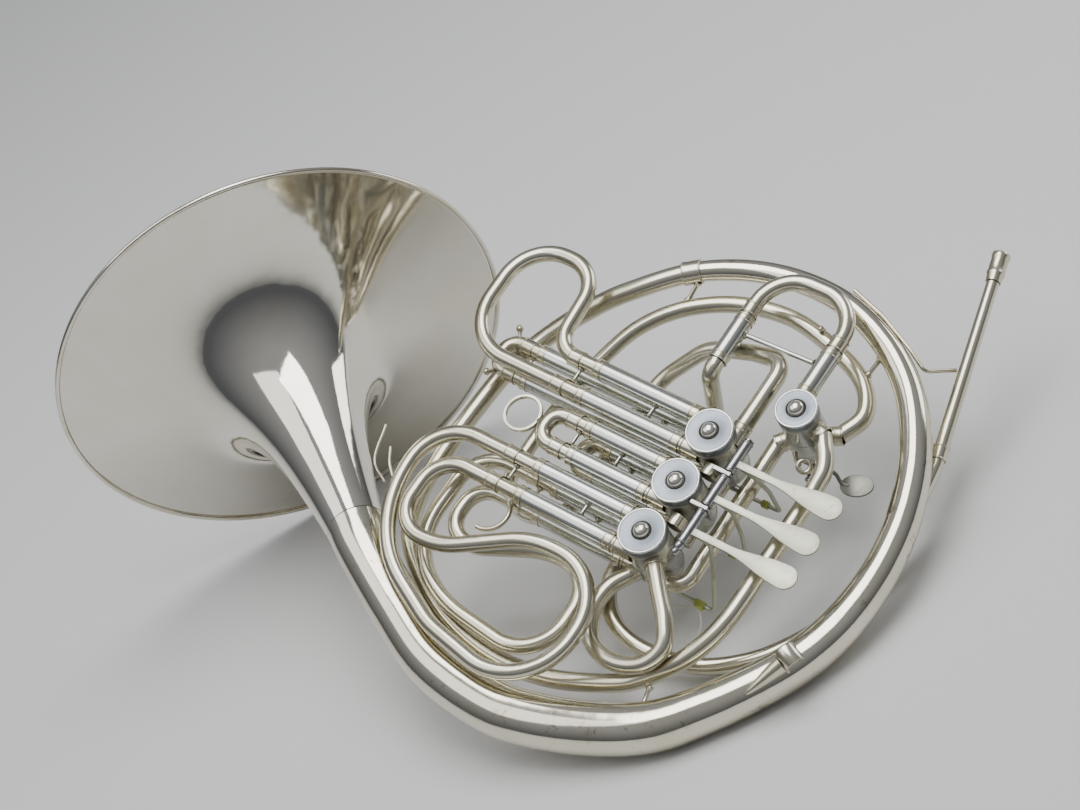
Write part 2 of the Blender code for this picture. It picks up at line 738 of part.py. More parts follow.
def make_finger_levers():
    for number in LEVER_V:
        make_lever(number)
    top = 44.6
    bottom = -35.0
    rod = turned("lever_rod",
                 [(0.0, top), (3.3, top - 0.6), (3.3, top - 1.8), (ROD_RADIUS, top - 1.8),
                  (ROD_RADIUS, bottom + 2.2), (3.3, bottom + 2.2), (2.6, bottom - 1.4),
                  (0.0, bottom - 2.2)],
                 (ROD_U, 0.0, ROD_W), (0, 1, 0), steel(), steps=TUBE_STEPS)
    posts = []
    for v in (18.6, -6.8):
        posts.append(block(f"lever_rod_post_{len(posts)}", (15.4, v - 1.2, -17.0),
                           (ROD_U + 3.0, v + 1.2, ROD_W + 3.0), (ROD_U, 0.0, ROD_W), steel(),
                           tool=True))
    combine(rod, posts)


def make_strings():
    """The cord of each finger valve, stretched along its lever's bar past the stop arm."""
    for number, v in VALVE_V.items():
        line_v = v - STOP_HUB_RADIUS - STRING_RADIUS - GAP
        path = [Vector((16.0, line_v, STRING_W)), Vector((-3.0, line_v, STRING_W))]
        pipe(f"linkage_cord_{number}", path, STRING_RADIUS, cord(), origin=(ROD_U, v, ROD_W))


def make_thumb_lever():
    u, w = THUMB_ROD_U, THUMB_ROD_W
    origin = (u, 56.0, w)
    hub = turned("thumb_lever", ring_profile(HUB_RADIUS, HUB_BORE, 6.0, -6.0), origin, (0, 1, 0),
                 lever_metal(), steps=TUBE_STEPS)
    paddle = []
    for k in range(14):
        angle = 2.0 * math.pi * k / 14.0
        along = 10.5 * math.cos(angle)
        across = 7.5 * math.sin(angle)
        paddle.append((0.9 * along - 0.43 * across, 0.43 * along + 0.9 * across))
    plate = outline_plate("thumb_lever_paddle", paddle, LEVER_THICKNESS, (83.0, 60.0, w - 7.0),
                          lever_metal(), tool=True)
    arm = pipe("thumb_lever_arm", bent([
        (u + 2.9, 57.0, w - 0.9), (68.0, 60.5, w - 3.1, 5.0), (74.5, 56.5, w - 7.0, 5.0),
        (79.0, 58.0, w - 7.0),
    ], step=30.0), 1.3, lever_metal(), origin=origin, tool=True)
    bar_v = THUMB_VALVE[1] - STRING_BAR_OFFSET
    tail = pipe("thumb_lever_tail", bent([
        (u, 59.0, w - 3.0), (u, 59.0, w - 9.0, 3.0), (u, bar_v, STRING_BAR_W, 4.0),
        (THUMB_VALVE[0] - 7.0, bar_v, STRING_BAR_W),
    ], step=30.0), 1.4, lever_metal(), origin=origin, tool=True)
    combine(hub, [plate, as_mesh(arm), as_mesh(tail)])

    rod = turned("thumb_lever_rod",
                 [(0.0, 11.5), (ROD_RADIUS, 11.5), (ROD_RADIUS, -7.5), (3.0, -7.5), (3.0, -9.5),
                  (0.0, -9.5)],
                 origin, (0, 1, 0), steel(), steps=TUBE_STEPS)
    post = block("thumb_lever_post", (u - 2.5, 63.5, w - 3.0), (u + 2.5, 66.0, -21.6), origin,
                 steel(), tool=True)
    combine(rod, [post])

    line_v = THUMB_VALVE[1] - STOP_HUB_RADIUS - STRING_RADIUS - GAP
    path = [Vector((THUMB_VALVE[0] + 13.0, line_v, STRING_W)),
            Vector((THUMB_VALVE[0] - 3.0, line_v, STRING_W))]
    pipe("linkage_cord_4", path, STRING_RADIUS, cord(), origin=origin)


# ---- Braces and the finger hook ----------------------------------------------------------------
def make_hand_pieces():
    path = bent([
        (95.2, 155.6, -43.0),
        (84.5, 141.0, -29.5, 5.0),
        (70.2, 148.6, -25.4, 16.0),
        (42.8, 161.4, -24.7, 30.0),
        (16.4, 169.8, -24.4),
    ])
    pipe("leadpipe_brace", path, 1.3, tube_metal())

    out = (HOOK_OUT - HOOK_OUT.project(HOOK_FOOT - HOOK_TIP)).normalized()
    along = (HOOK_FOOT - HOOK_TIP).normalized()
    low = HOOK_TIP + out * 1.2
    high = HOOK_FOOT + out * (HOOK_RADIUS + GAP)
    length = (high - low).length
    boss = turned("finger_hook",
                  [(0.0, 0.0), (HOOK_RADIUS, 0.0), (HOOK_RADIUS * 0.8, -length * 0.35),
                   (HOOK_RADIUS * 0.45, -length * 0.72), (0.8, -length), (0.0, -length)],
                  high, high - low, tube_metal(), steps=12)
    strip = []
    for radius, order in ((6.6, range(9)), (5.0, reversed(range(9)))):
        for k in order:
            angle = math.radians(180.0 - 190.0 * k / 8.0)
            strip.append((6.6 + radius * math.cos(angle), 7.0 + radius * math.sin(angle)))
    outline = [(0.0, 0.6), *strip, (1.6, 0.6)]
    curl = outline_plate("finger_hook_strip", outline, 11.5, HOOK_FOOT - along * 0.8, tube_metal(),
                         tool=True, axes=(along, out))
    combine(boss, [curl])


# ---- Resting pose ------------------------------------------------------------------------------
def lay_down():
    """Turn the horn into its resting pose and set it on z = 0, its box centred on the origin."""
    up = REST_UP.normalized()
    ahead = (REST_HEADING - up * REST_HEADING.dot(up)).normalized()
    side = up.cross(ahead)
    frame.rotation_euler = Matrix((ahead, side, up)).to_euler()
    bpy.context.view_layer.update()
    graph = bpy.context.evaluated_depsgraph_get()
    spots = []
    for item in horn.objects:
        seen = item.evaluated_get(graph)
        mesh = seen.to_mesh()
        spots.extend(seen.matrix_world @ vertex.co for vertex in mesh.vertices)
        seen.to_mesh_clear()
    low = [min(spot[k] for spot in spots) for k in range(3)]
    high = [max(spot[k] for spot in spots) for k in range(3)]
    frame.location = (-(low[0] + high[0]) / 2.0, -(low[1] + high[1]) / 2.0, -low[2])
    bpy.context.view_layer.update()


clear_scene()
horn = new_collection("french_horn")
tools = new_collection("french_horn_tools")
frame = bpy.data.objects.new("horn_frame", None)
horn.objects.link(frame)
make_bell()
make_branch()
make_leadpipe()
make_main_tuning_slide()
make_slides()
make_valves()
make_connecting_tubes()
make_finger_levers()
make_strings()
make_thumb_lever()
make_hand_pieces()
horn.objects.unlink(frame)
tools.objects.link(frame)
lay_down()
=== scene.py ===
"""Looks of the double french horn: fine meshes, nickel silver finishes and small fittings.

Shapes are laid out in the horn's design axes, in millimetres, as in its CAD source:
  u  along the valve slides, positive towards the finger levers
  v  along the row of finger valves, from valve 3 up to valve 1
  w  out of the valve caps; the cap tops lie in the plane w = 0
One matrix, TO_WORLD, turns them into metres in the frame.
"""
import json
import math

import bmesh
import bpy
from mathutils import Matrix, Vector


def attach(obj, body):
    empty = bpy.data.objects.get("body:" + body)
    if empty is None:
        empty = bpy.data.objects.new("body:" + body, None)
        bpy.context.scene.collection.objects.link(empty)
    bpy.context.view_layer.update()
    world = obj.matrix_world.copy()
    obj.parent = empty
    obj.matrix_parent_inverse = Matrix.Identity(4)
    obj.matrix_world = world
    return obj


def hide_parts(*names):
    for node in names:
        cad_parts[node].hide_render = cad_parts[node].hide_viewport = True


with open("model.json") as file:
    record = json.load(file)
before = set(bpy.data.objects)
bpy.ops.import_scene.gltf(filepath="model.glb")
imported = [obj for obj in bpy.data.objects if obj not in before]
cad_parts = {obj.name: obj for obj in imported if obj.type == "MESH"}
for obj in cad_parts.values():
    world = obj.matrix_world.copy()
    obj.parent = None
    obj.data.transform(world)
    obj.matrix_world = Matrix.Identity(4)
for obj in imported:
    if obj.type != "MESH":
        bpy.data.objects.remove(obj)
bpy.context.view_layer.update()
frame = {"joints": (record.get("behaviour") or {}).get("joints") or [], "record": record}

MM = 0.001  # metres in a millimetre
ALONG_U = (1, 0, 0)
ALONG_V = (0, 1, 0)
UP = (0, 0, 1)  # along w

# ---- Driving dimensions, mm, the same as the CAD's ----
BELL_RADIUS = 155.5
BELL_CENTRE = Vector((-334.3, -22.4, -62.0))
BELL_AXIS = Vector((-0.846, 0.512, -0.149)).normalized()
BELL_FLARE_LENGTH = 25.0
BELL_WALL = 0.8
BELL_DEPTH = 172.0
RIM_WIRE = 1.8

VALVE_PITCH = 37.6
VALVE_V = {1: VALVE_PITCH, 2: 0.0, 3: -VALVE_PITCH}
THUMB_VALVE = (40.2, 73.8)
CASING_RADIUS = 14.8
THUMB_CASING_RADIUS = 13.0
CASING_TOP = -6.5
CASING_BOTTOM = -48.0
CASING_WALL = 1.7
SPINDLE_RADIUS = 2.0

P = 10.4  # from a valve's centre line to each leg of its slide
F_LAYER = -15.0
B_LAYER = -37.0
TUNING_LAYER = -12.0
SLEEVE_START = -17.5
SLEEVE_OUTER = 6.2
SLEEVE_BORE = 5.7
LEG_RADIUS = 5.25
TUBE_RADIUS = 5.8
CROOK_RADIUS = 5.6
GAP = 0.3

ROD_U = 24.7
ROD_W = -4.0
ROD_RADIUS = 1.9
HUB_BORE = 2.4
HUB_RADIUS = 3.6
LEVER_V = {1: 27.0, 2: 1.5, 3: -23.0}
LEVER_HUB_V = {1: (20.4, 42.4), 2: (-5.0, 16.8), 3: (-32.4, -8.6)}
PADDLE_END_U = 101.2
PADDLE_HALF_WIDTH = 7.7
ARM_HALF_WIDTH = 2.3
LEVER_THICKNESS = 1.8
STRING_BAR_W = -56.5
STRING_BAR_OFFSET = 8.6
STRING_BAR_RADIUS = 1.4
STOP_HUB_RADIUS = 5.2
STRING_RADIUS = 0.6
STRING_W = -55.4
HOOK_TIP = Vector((107.5, -92.0, -16.2))
HOOK_FOOT = Vector((117.8, -67.2, -14.3))
HOOK_OUT = Vector((0.19, -0.12, 0.97))
HOOK_RADIUS = 5.4
THUMB_ROD_U = 58.0
THUMB_ROD_W = -34.0
THUMB_PLATE_LONG = 10.5
THUMB_PLATE_WIDE = 7.5

# ---- The frame's place ----
REST_UP = Vector((-0.3470, 0.2245, 0.9106))
REST_HEADING = Vector((0.95, -0.20, 0.31))


def design_to_world():
    """The matrix from design millimetres to frame metres, fixed by the first lever's hinge."""
    up = REST_UP.normalized()
    ahead = (REST_HEADING - up * REST_HEADING.dot(up)).normalized()
    turn = Matrix((ahead, up.cross(ahead), up))
    hinge = next(j for j in frame["joints"] if j["name"] == "lever_1_hinge")
    shift = Vector(hinge["pos_m"]) - turn @ (Vector((ROD_U, LEVER_V[1], ROD_W)) * MM)
    return Matrix.Translation(shift) @ turn.to_4x4() @ Matrix.Scale(MM, 4)


TO_WORLD = design_to_world()
BODY_OF = {node: body for body, nodes in frame["record"]["behaviour"]["bodies"].items()
           for node in nodes}


# ---- Materials ----
# Texture coordinates are in metres, so a noise scale is a number of waves in a metre.
BLOTCH_SCALE = 24.0
SPECK_SCALE = 210.0
DENT_SCALE = 38.0
RUB_SCALE = 60.0
BRUSH_SCALE = (1500.0, 260.0, 900.0)
DENT_DEPTH = 0.0012
PIT_DEPTH = 0.00012
RUBBED_BROWN = (0.16, 0.11, 0.06)


def new_material(name):
    """A new material with its node tree and its shader."""
    made = bpy.data.materials.new(name)
    made.use_nodes = True
    return made, made.node_tree, made.node_tree.nodes["Principled BSDF"]


def feed(node, values):
    """Sets a node's inputs, by name or number, to plain values or to other nodes' outputs."""
    for key, value in values.items():
        socket = node.inputs[key]
        if isinstance(value, bpy.types.NodeSocket):
            node.id_data.links.new(value, socket)
        else:
            socket.default_value = (*value, 1.0) if socket.type == "RGBA" else value


def add(tree, kind, values, **settings):
    """A new node with its settings and its inputs."""
    node = tree.nodes.new(kind)
    for key, value in settings.items():
        setattr(node, key, value)
    feed(node, values)
    return node


def blend(tree, factor, a, b):
    """A colour between two others."""
    return add(tree, "ShaderNodeMix", {0: factor, 6: a, 7: b}, data_type="RGBA").outputs[2]


def ramp(tree, source, low, high):
    """0 below one value of the source, 1 above another, straight between."""
    values = {"Value": source, "From Min": low, "From Max": high}
    return add(tree, "ShaderNodeMapRange", values).outputs["Result"]


def metal(name, colour, shade, roughness, tarnish_and_shade=0.6, wave=0.25, grain=0.5, reach=0.006,
          tarnish_and_shade_colour=(0.10, 0.075, 0.035), patch=0.35, worn=0.0):
    """A metal with mottled colour, tarnish and painted shade in its crevices, hairlines and a
    hand-worked waviness.
    """
    made, tree, shader = new_material(name)
    place = add(tree, "ShaderNodeTexCoord", {}).outputs["Object"]

    def noise(scale, detail, rough=0.55, at=place):
        values = {"Vector": at, "Scale": scale, "Detail": detail, "Roughness": rough}
        return add(tree, "ShaderNodeTexNoise", values).outputs["Fac"]

    def maths(kind, a, b):
        return add(tree, "ShaderNodeMath", {0: a, 1: b}, operation=kind).outputs[0]

    def bump(strength, distance, height):
        values = {"Strength": strength, "Distance": distance, "Height": height}
        return add(tree, "ShaderNodeBump", values)

    blotches = noise(BLOTCH_SCALE, 4.0)
    specks = noise(SPECK_SCALE, 6.0, 0.65)
    stretch = add(tree, "ShaderNodeMapping", {"Vector": place, "Scale": BRUSH_SCALE})
    hairlines = noise(1.0, 3.0, 0.5, stretch.outputs["Vector"])

    # Ambient occlusion darkens gaps and hollows towards the tarnish colour: part real tarnish, part
    # painted shade.
    crevice = add(tree, "ShaderNodeAmbientOcclusion", {"Distance": reach}, samples=8)
    shut = maths("SUBTRACT", 1.0, ramp(tree, crevice.outputs["AO"], 0.30, 0.95))
    broken = maths("MULTIPLY", shut, ramp(tree, blotches, 0.20, 0.60))
    tarnish_and_shade_mask = maths("MULTIPLY", broken, tarnish_and_shade)

    body = blend(tree, ramp(tree, blotches, 0.38, 0.66), colour, shade)
    spots = maths("MULTIPLY", ramp(tree, specks, 0.60, 0.80), patch)
    stained = blend(tree, spots, body, tuple(c * 0.62 for c in shade))
    if worn > 0.0:
        rubbed = maths("MULTIPLY", ramp(tree, noise(RUB_SCALE, 10.0, 0.8), 0.57, 0.66), worn)
        stained = blend(tree, rubbed, stained, RUBBED_BROWN)

    matt = maths("MULTIPLY", ramp(tree, blotches, 0.3, 0.8), 0.35 * roughness)
    hair = maths("MULTIPLY", ramp(tree, hairlines, 0.55, 0.80), 0.45 * roughness * grain)
    rough = maths("ADD", maths("ADD", maths("ADD", roughness, matt), hair),
                  maths("MULTIPLY", tarnish_and_shade_mask, 0.45))

    dents = bump(wave, DENT_DEPTH, noise(DENT_SCALE, 2.0))
    pits = bump(0.12 * grain, PIT_DEPTH, specks)
    feed(pits, {"Normal": dents.outputs["Normal"]})
    feed(shader, {"Metallic": 1.0, "Base Color": blend(tree, tarnish_and_shade_mask, stained, tarnish_and_shade_colour),
                  "Roughness": rough, "Normal": pits.outputs["Normal"]})
    return made


TUBE = metal("horn_tube", (0.69, 0.655, 0.53), (0.61, 0.57, 0.43), 0.19, tarnish_and_shade=0.45,
             tarnish_and_shade_colour=(0.16, 0.13, 0.07))
SLEEVE = metal("horn_sleeve", (0.63, 0.64, 0.61), (0.55, 0.56, 0.50), 0.19, tarnish_and_shade=0.4,
               tarnish_and_shade_colour=(0.14, 0.12, 0.08))
FITTING = metal("horn_fitting", (0.70, 0.665, 0.54), (0.60, 0.55, 0.41), 0.20, tarnish_and_shade=0.9)
BELL = metal("horn_bell", (0.76, 0.73, 0.65), (0.72, 0.685, 0.59), 0.065, tarnish_and_shade=0.15, wave=0.14,
             grain=0.35, patch=0.08)
RIM = metal("horn_rim", (0.78, 0.75, 0.66), (0.66, 0.60, 0.47), 0.12, tarnish_and_shade=0.9, reach=0.002)
BRANCH = metal("horn_branch", (0.74, 0.705, 0.59), (0.68, 0.64, 0.50), 0.10, tarnish_and_shade=0.35,
               wave=0.16, worn=0.85, patch=0.18)
VALVE = metal("horn_valve", (0.60, 0.60, 0.55), (0.50, 0.50, 0.44), 0.24, tarnish_and_shade=0.9)
CAP = metal("horn_cap", (0.27, 0.30, 0.33), (0.245, 0.27, 0.30), 0.33, tarnish_and_shade=0.8, wave=0.03,
            grain=1.2, reach=0.002)
CAP_RIM = metal("horn_cap_rim", (0.78, 0.79, 0.76), (0.70, 0.71, 0.68), 0.15, tarnish_and_shade=0.8,
                wave=0.03, reach=0.002)
DOME = metal("horn_dome", (0.78, 0.755, 0.67), (0.72, 0.69, 0.60), 0.15, tarnish_and_shade=0.5, wave=0.0,
             reach=0.002)
LEVER = metal("horn_lever", (0.52, 0.52, 0.42), (0.48, 0.48, 0.385), 0.36, tarnish_and_shade=0.5, wave=0.04,
              grain=1.4)
# The thumb lever's metal is far darker than the finger levers' metal: painted shade.
SHADED_THUMB = metal("horn_thumb_painted_shade", (0.22, 0.22, 0.19), (0.18, 0.18, 0.16), 0.34, tarnish_and_shade=0.5, wave=0.04,
              grain=1.4)
STEEL = metal("horn_steel", (0.40, 0.40, 0.40), (0.32, 0.32, 0.31), 0.17, tarnish_and_shade=0.9)
BRASS = metal("horn_brass", (0.74, 0.56, 0.28), (0.64, 0.47, 0.22), 0.26, tarnish_and_shade=0.8)
DARK = metal("horn_dark", (0.05, 0.048, 0.045), (0.03, 0.03, 0.03), 0.45, tarnish_and_shade=0.5)


def thread(name, colour):
    """Braided cord: a fine helical ridge, with painted shade down in its grooves."""
    made, tree, shader = new_material(name)
    place = add(tree, "ShaderNodeTexCoord", {}).outputs["Object"]
    ridge = add(tree, "ShaderNodeTexWave", {"Vector": place, "Scale": 900.0, "Distortion": 1.5},
                bands_direction="DIAGONAL").outputs["Fac"]
    bump = add(tree, "ShaderNodeBump", {"Strength": 0.6, "Distance": 0.0002, "Height": ridge})
    shader.inputs["Sheen Weight"].default_value = 0.3
    # Painted shade: the cord's colour darkens where the ridge is low.
    groove_shaded = blend(tree, ridge, tuple(c * 0.6 for c in colour), colour)
    feed(shader, {"Roughness": 0.85, "Base Color": groove_shaded, "Normal": bump.outputs["Normal"]})
    return made


STRING = thread("horn_string", (0.55, 0.60, 0.14))
PALE_STRING = thread("horn_pale_string", (0.72, 0.71, 0.60))

# ---- Mesh tools ----
TUBE_SIDES = 28
END_SOFT = 0.25  # how far a bar's end edges are rounded back, mm
POINT = 0.02  # radius that stands for a turned piece's tip, mm
SHARP_ANGLE = math.radians(38)
WELD = 0.000002  # points nearer than this are one point, m


def circle(middle, radius, side, other, steps):
    """Evenly spaced points round a circle in the plane of two unit vectors."""
    angles = [2.0 * math.pi * k / steps for k in range(steps)]
    return [middle + radius * (math.cos(angle) * side + math.sin(angle) * other)
            for angle in angles]


def sweep(path, radii, sides=TUBE_SIDES):
    """A round bar along a path, with softened end edges. radii is one radius or one each."""
    path = [Vector(spot) for spot in path]
    if not isinstance(radii, list):
        radii = [radii] * len(path)
    for _ in range(2):
        share = min(0.45, END_SOFT / (path[1] - path[0]).length)
        path.insert(1, path[0].lerp(path[1], share))
        radii.insert(1, radii[0])
        radii[0] -= min(END_SOFT, 0.3 * radii[0])
        path.reverse()
        radii.reverse()
    rings = []
    tangent = (path[1] - path[0]).normalized()
    side = tangent.orthogonal().normalized()
    for i, spot in enumerate(path):
        before = path[max(i - 1, 0)]
        after = path[min(i + 1, len(path) - 1)]
        here = (after - before).normalized()
        side = tangent.rotation_difference(here) @ side
        side = (side - here * side.dot(here)).normalized()
        tangent = here
        rings.append(circle(spot, radii[i], side, here.cross(side), sides))
    return skin(rings, ends=True)


def skin(rings, ends=False, wrap=False):
    """Faces between neighbouring rings of points, with flat ends or joined last to first."""
    count = len(rings[0])
    spots = [spot for ring in rings for spot in ring]
    faces = []
    for r in range(len(rings) if wrap else len(rings) - 1):
        after = (r + 1) % len(rings)
        for k in range(count):
            j = (k + 1) % count
            faces.append((r * count + k, r * count + j, after * count + j, after * count + k))
    if ends:
        faces.append(tuple(range(count - 1, -1, -1)))
        faces.append(tuple((len(rings) - 1) * count + k for k in range(count)))
    return spots, faces


def lathe(profile, origin, axis, steps=48, wrap=False):
    """A turned piece from (radius, height) points down its outer side."""
    rise = Vector(axis).normalized()
    side = rise.orthogonal().normalized()
    other = rise.cross(side)
    rings = []
    for radius, height in profile:
        middle = Vector(origin) + rise * height
        rings.append(circle(middle, max(radius, POINT), side, other, steps))
    return skin(rings, wrap=wrap)


def tube_ring(outer, bore, top, bottom, origin, axis, steps=48):
    """A straight length of tube, its outer edges slightly rounded."""
    soft = 0.15
    profile = [(outer - soft, top), (outer, top - soft), (outer, bottom + soft),
               (outer - soft, bottom), (bore, bottom), (bore, top)]
    return lathe(profile, origin, axis, steps, wrap=True)


def torus(middle, axis, radius, wire, steps=48, sides=14, first=0.0, last=360.0, toward=None):
    """A ring of round wire, or part of one."""
    rise = Vector(axis).normalized()
    side = rise.orthogonal().normalized() if toward is None else Vector(toward).normalized()
    other = rise.cross(side)
    full = last - first >= 360.0
    rings = []
    for k in range(steps if full else steps + 1):
        a = math.radians(first + (last - first) * k / steps)
        out = math.cos(a) * side + math.sin(a) * other
        rings.append([Vector(middle) + out * (radius + wire * math.cos(b)) + rise * wire
                      * math.sin(b) for b in (2.0 * math.pi * j / sides for j in range(sides))])
    return skin(rings, ends=not full, wrap=full)


def ball(middle, radius):
    """A ball of 14 bands."""
    angles = [math.pi * k / 14 for k in range(15)]
    profile = [(radius * math.sin(angle), radius * math.cos(angle)) for angle in angles]
    return lathe(profile, middle, UP, 24)


def slab(outline, thickness, origin, across, up, soft=0.3):
    """A flat piece cut to an outline, with rounded edges."""
    across = Vector(across).normalized()
    up = Vector(up).normalized()
    out = across.cross(up).normalized()
    count = len(outline)
    half = thickness / 2.0

    def ring(inset, height):
        spots = []
        for i, (a, b) in enumerate(outline):
            pa, pb = outline[i - 1]
            na, nb = outline[(i + 1) % count]
            ta, tb = na - pa, nb - pb
            size = math.hypot(ta, tb)
            spots.append(Vector(origin) + across * (a - inset * tb / size)
                         + up * (b + inset * ta / size) + out * height)
        return spots

    turn = sum(outline[i - 1][0] * b - a * outline[i - 1][1] for i, (a, b) in enumerate(outline))
    sign = 1.0 if turn > 0 else -1.0
    rings = [ring(sign * soft, half), ring(sign * soft * 0.3, half - soft * 0.3),
             ring(0.0, half - soft), ring(0.0, -half + soft),
             ring(sign * soft * 0.3, -half + soft * 0.3), ring(sign * soft, -half)]
    return skin(rings, ends=True)


def block(low, high, soft=0.25):
    """A box between two corners, with softened edges."""
    shape = bmesh.new()
    bmesh.ops.create_cube(shape, size=1.0)
    low = Vector(low)
    high = Vector(high)
    for corner in shape.verts:
        corner.co = (low + high) / 2.0 + Vector(c * d for c, d in zip(corner.co, high - low))
    bmesh.ops.bevel(shape, geom=shape.edges, offset=soft, segments=2, affect="EDGES")
    shape.verts.index_update()
    spots = [corner.co.copy() for corner in shape.verts]
    faces = [tuple(v.index for v in face.verts) for face in shape.faces]
    shape.free()
    return spots, faces


def piece(name, shapes, body, material, node=None):
    """One object of the visual model, riding on a body and standing for a CAD node if given."""
    mesh = bpy.data.meshes.new(name)
    spots = []
    faces = []
    for more_spots, more_faces in shapes:
        base = len(spots)
        spots.extend(TO_WORLD @ spot for spot in more_spots)
        faces.extend(tuple(base + i for i in face) for face in more_faces)
    mesh.from_pydata(spots, [], faces)
    tidy = bmesh.new()
    tidy.from_mesh(mesh)
    bmesh.ops.remove_doubles(tidy, verts=tidy.verts, dist=WELD)
    bmesh.ops.recalc_face_normals(tidy, faces=tidy.faces)
    tidy.to_mesh(mesh)
    tidy.free()
    mesh.materials.append(material)
    mesh.shade_smooth()
    mesh.set_sharp_from_angle(angle=SHARP_ANGLE)
    item = bpy.data.objects.new(name, mesh)
    bpy.context.scene.collection.objects.link(item)
    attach(item, body)
    if node:
        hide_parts(node)


def stand_in(node, shapes, material):
    """A fine piece in place of one CAD node."""
    piece(node + "_fine", shapes, BODY_OF[node], material, node)


def tube(node, path, radii=TUBE_RADIUS):
    """A fine round tube in place of one CAD node."""
    stand_in(node, [sweep(path, radii)], TUBE)


def fitting(name, shapes, body="corpus"):
    """A small nickel silver fitting that the CAD leaves out."""
    piece(name, shapes, body, FITTING)


# ---- Paths ----
def bent(corners, step=6.0):
    """Straight runs joined by arcs. A corner is (u, v, w, bend radius), an end (u, v, w)."""
    spots = [Vector(corner[:3]) for corner in corners]
    path = [spots[0]]
    for i in range(1, len(corners) - 1):
        spot = spots[i]
        radius = corners[i][3]
        back = (spots[i - 1] - spot).normalized()
        ahead = (spots[i + 1] - spot).normalized()
        opening = back.angle(ahead)
        turn = math.pi - opening
        reach = radius * math.tan(turn / 2.0)
        middle = spot + (back + ahead).normalized() * (radius / math.sin(opening / 2.0))
        start = spot + back * reach
        spin = back.cross(start - middle).normalized()
        count = max(2, math.ceil(math.degrees(turn) / step))
        for k in range(count + 1):
            swing = Matrix.Rotation(turn * k / count, 3, spin)
            path.append(middle + swing @ (start - middle))
    path.append(spots[-1])
    return path


def smooth(knots, parts=8):
    """A Catmull-Rom curve through given points, of any number of coordinates."""
    spots = [Vector(knot) for knot in knots]
    spots = [spots[0] * 2.0 - spots[1], *spots, spots[-1] * 2.0 - spots[-2]]
    path = []
    for a, b, c, d in zip(spots, spots[1:], spots[2:], spots[3:]):
        for k in range(parts):
            t = k / parts
            path.append(
                0.5 * (2.0 * b + (c - a) * t + (2.0 * a - 5.0 * b + 4.0 * c - d) * t**2
                       + (3.0 * b - a - 3.0 * c + d) * t**3)
            )
    path.append(spots[-2])
    return path


def taper(path, stations):
    """Radii along a path, straight between (fraction of the length, radius) stations."""
    lengths = [0.0]
    for a, b in zip(path, path[1:]):
        lengths.append(lengths[-1] + (b - a).length)
    radii = []
    for length in lengths:
        here = length / lengths[-1]
        for (f0, r0), (f1, r1) in zip(stations, stations[1:]):
            if here <= f1 + 1e-9:
                radii.append(r0 + (r1 - r0) * (here - f0) / (f1 - f0))
                break
    return radii


def collar(spot, way, radius, width, bead=0.35):
    """A soldered band round a tube, with a bead at each edge."""
    half = width / 2.0
    profile = [(radius - 0.5, half), (radius + bead * 0.7, half), (radius + bead, half - 0.35),
               (radius + bead * 0.6, half - 0.8), (radius, half - 1.0), (radius, -half + 1.0),
               (radius + bead * 0.6, -half + 0.8), (radius + bead, -half + 0.35),
               (radius + bead * 0.7, -half), (radius - 0.5, -half)]
    return lathe(profile, spot, way, 40, wrap=True)


# ---- Bell ----
def bell_radius(depth):
    """The bell's outer radius at a depth from its mouth."""
    edge = BELL_RADIUS - 2.0 * RIM_WIRE - GAP
    return edge / (1.0 + depth / BELL_FLARE_LENGTH)


def bell_line(depth):
    """The middle of the bell at a depth from its mouth."""
    return BELL_CENTRE - BELL_AXIS * depth


def make_bell():
    """The flare, a thin shell with its rings closer together near the mouth, and its rim wire."""
    depths = [BELL_DEPTH * (k / 72.0) ** 2.2 for k in range(73)]
    outside = [(bell_radius(depth), -depth) for depth in depths]
    inside = []
    for depth in reversed(depths):
        slope = math.atan((bell_radius(depth) - bell_radius(depth + 0.01)) / 0.01)
        inside.append((bell_radius(depth) - BELL_WALL * math.cos(slope),
                       -depth + BELL_WALL * math.sin(slope)))
    stand_in("bell_flare", [lathe(outside + inside, BELL_CENTRE, BELL_AXIS, 160, wrap=True)],
             BELL)
    stand_in("bell_rim_wire",
             [torus(BELL_CENTRE, BELL_AXIS, BELL_RADIUS - RIM_WIRE, RIM_WIRE, 160, 16)], RIM)


# the branch's centre line and radius, on from the bell
BRANCH_KNOTS = [
    (-170.7, -122.0, -34.8, 17.9), (-129.0, -143.4, -38.0, 17.3), (-86.5, -161.5, -38.5, 17.2),
    (-38.0, -167.5, -36.5, 17.0), (-4.0, -162.0, -35.0, 16.8), (33.0, -149.0, -32.5, 16.3),
    (62.5, -132.5, -30.5, 15.6), (83.0, -111.0, -29.5, 14.7), (101.0, -87.5, -28.5, 13.9),
    (117.0, -61.0, -28.0, 13.3), (127.0, -33.0, -28.0, 12.8), (131.0, -4.0, -28.0, 12.0),
    (130.0, 25.0, -28.0, 11.3), (123.5, 56.0, -28.0, 10.8), (109.0, 90.0, -28.0, 10.2),
    (84.0, 124.0, -28.0, 9.4), (50.0, 148.0, -28.0, 8.5), (8.0, 161.5, -28.0, 7.9),
    (-40.0, 159.0, -28.0, 7.3), (-84.0, 140.5, -28.0, 6.8),
]
FERRULE_OUTER = 7.75
FERRULE_HALF = 6.0
TAIL_RADIUS = 6.6
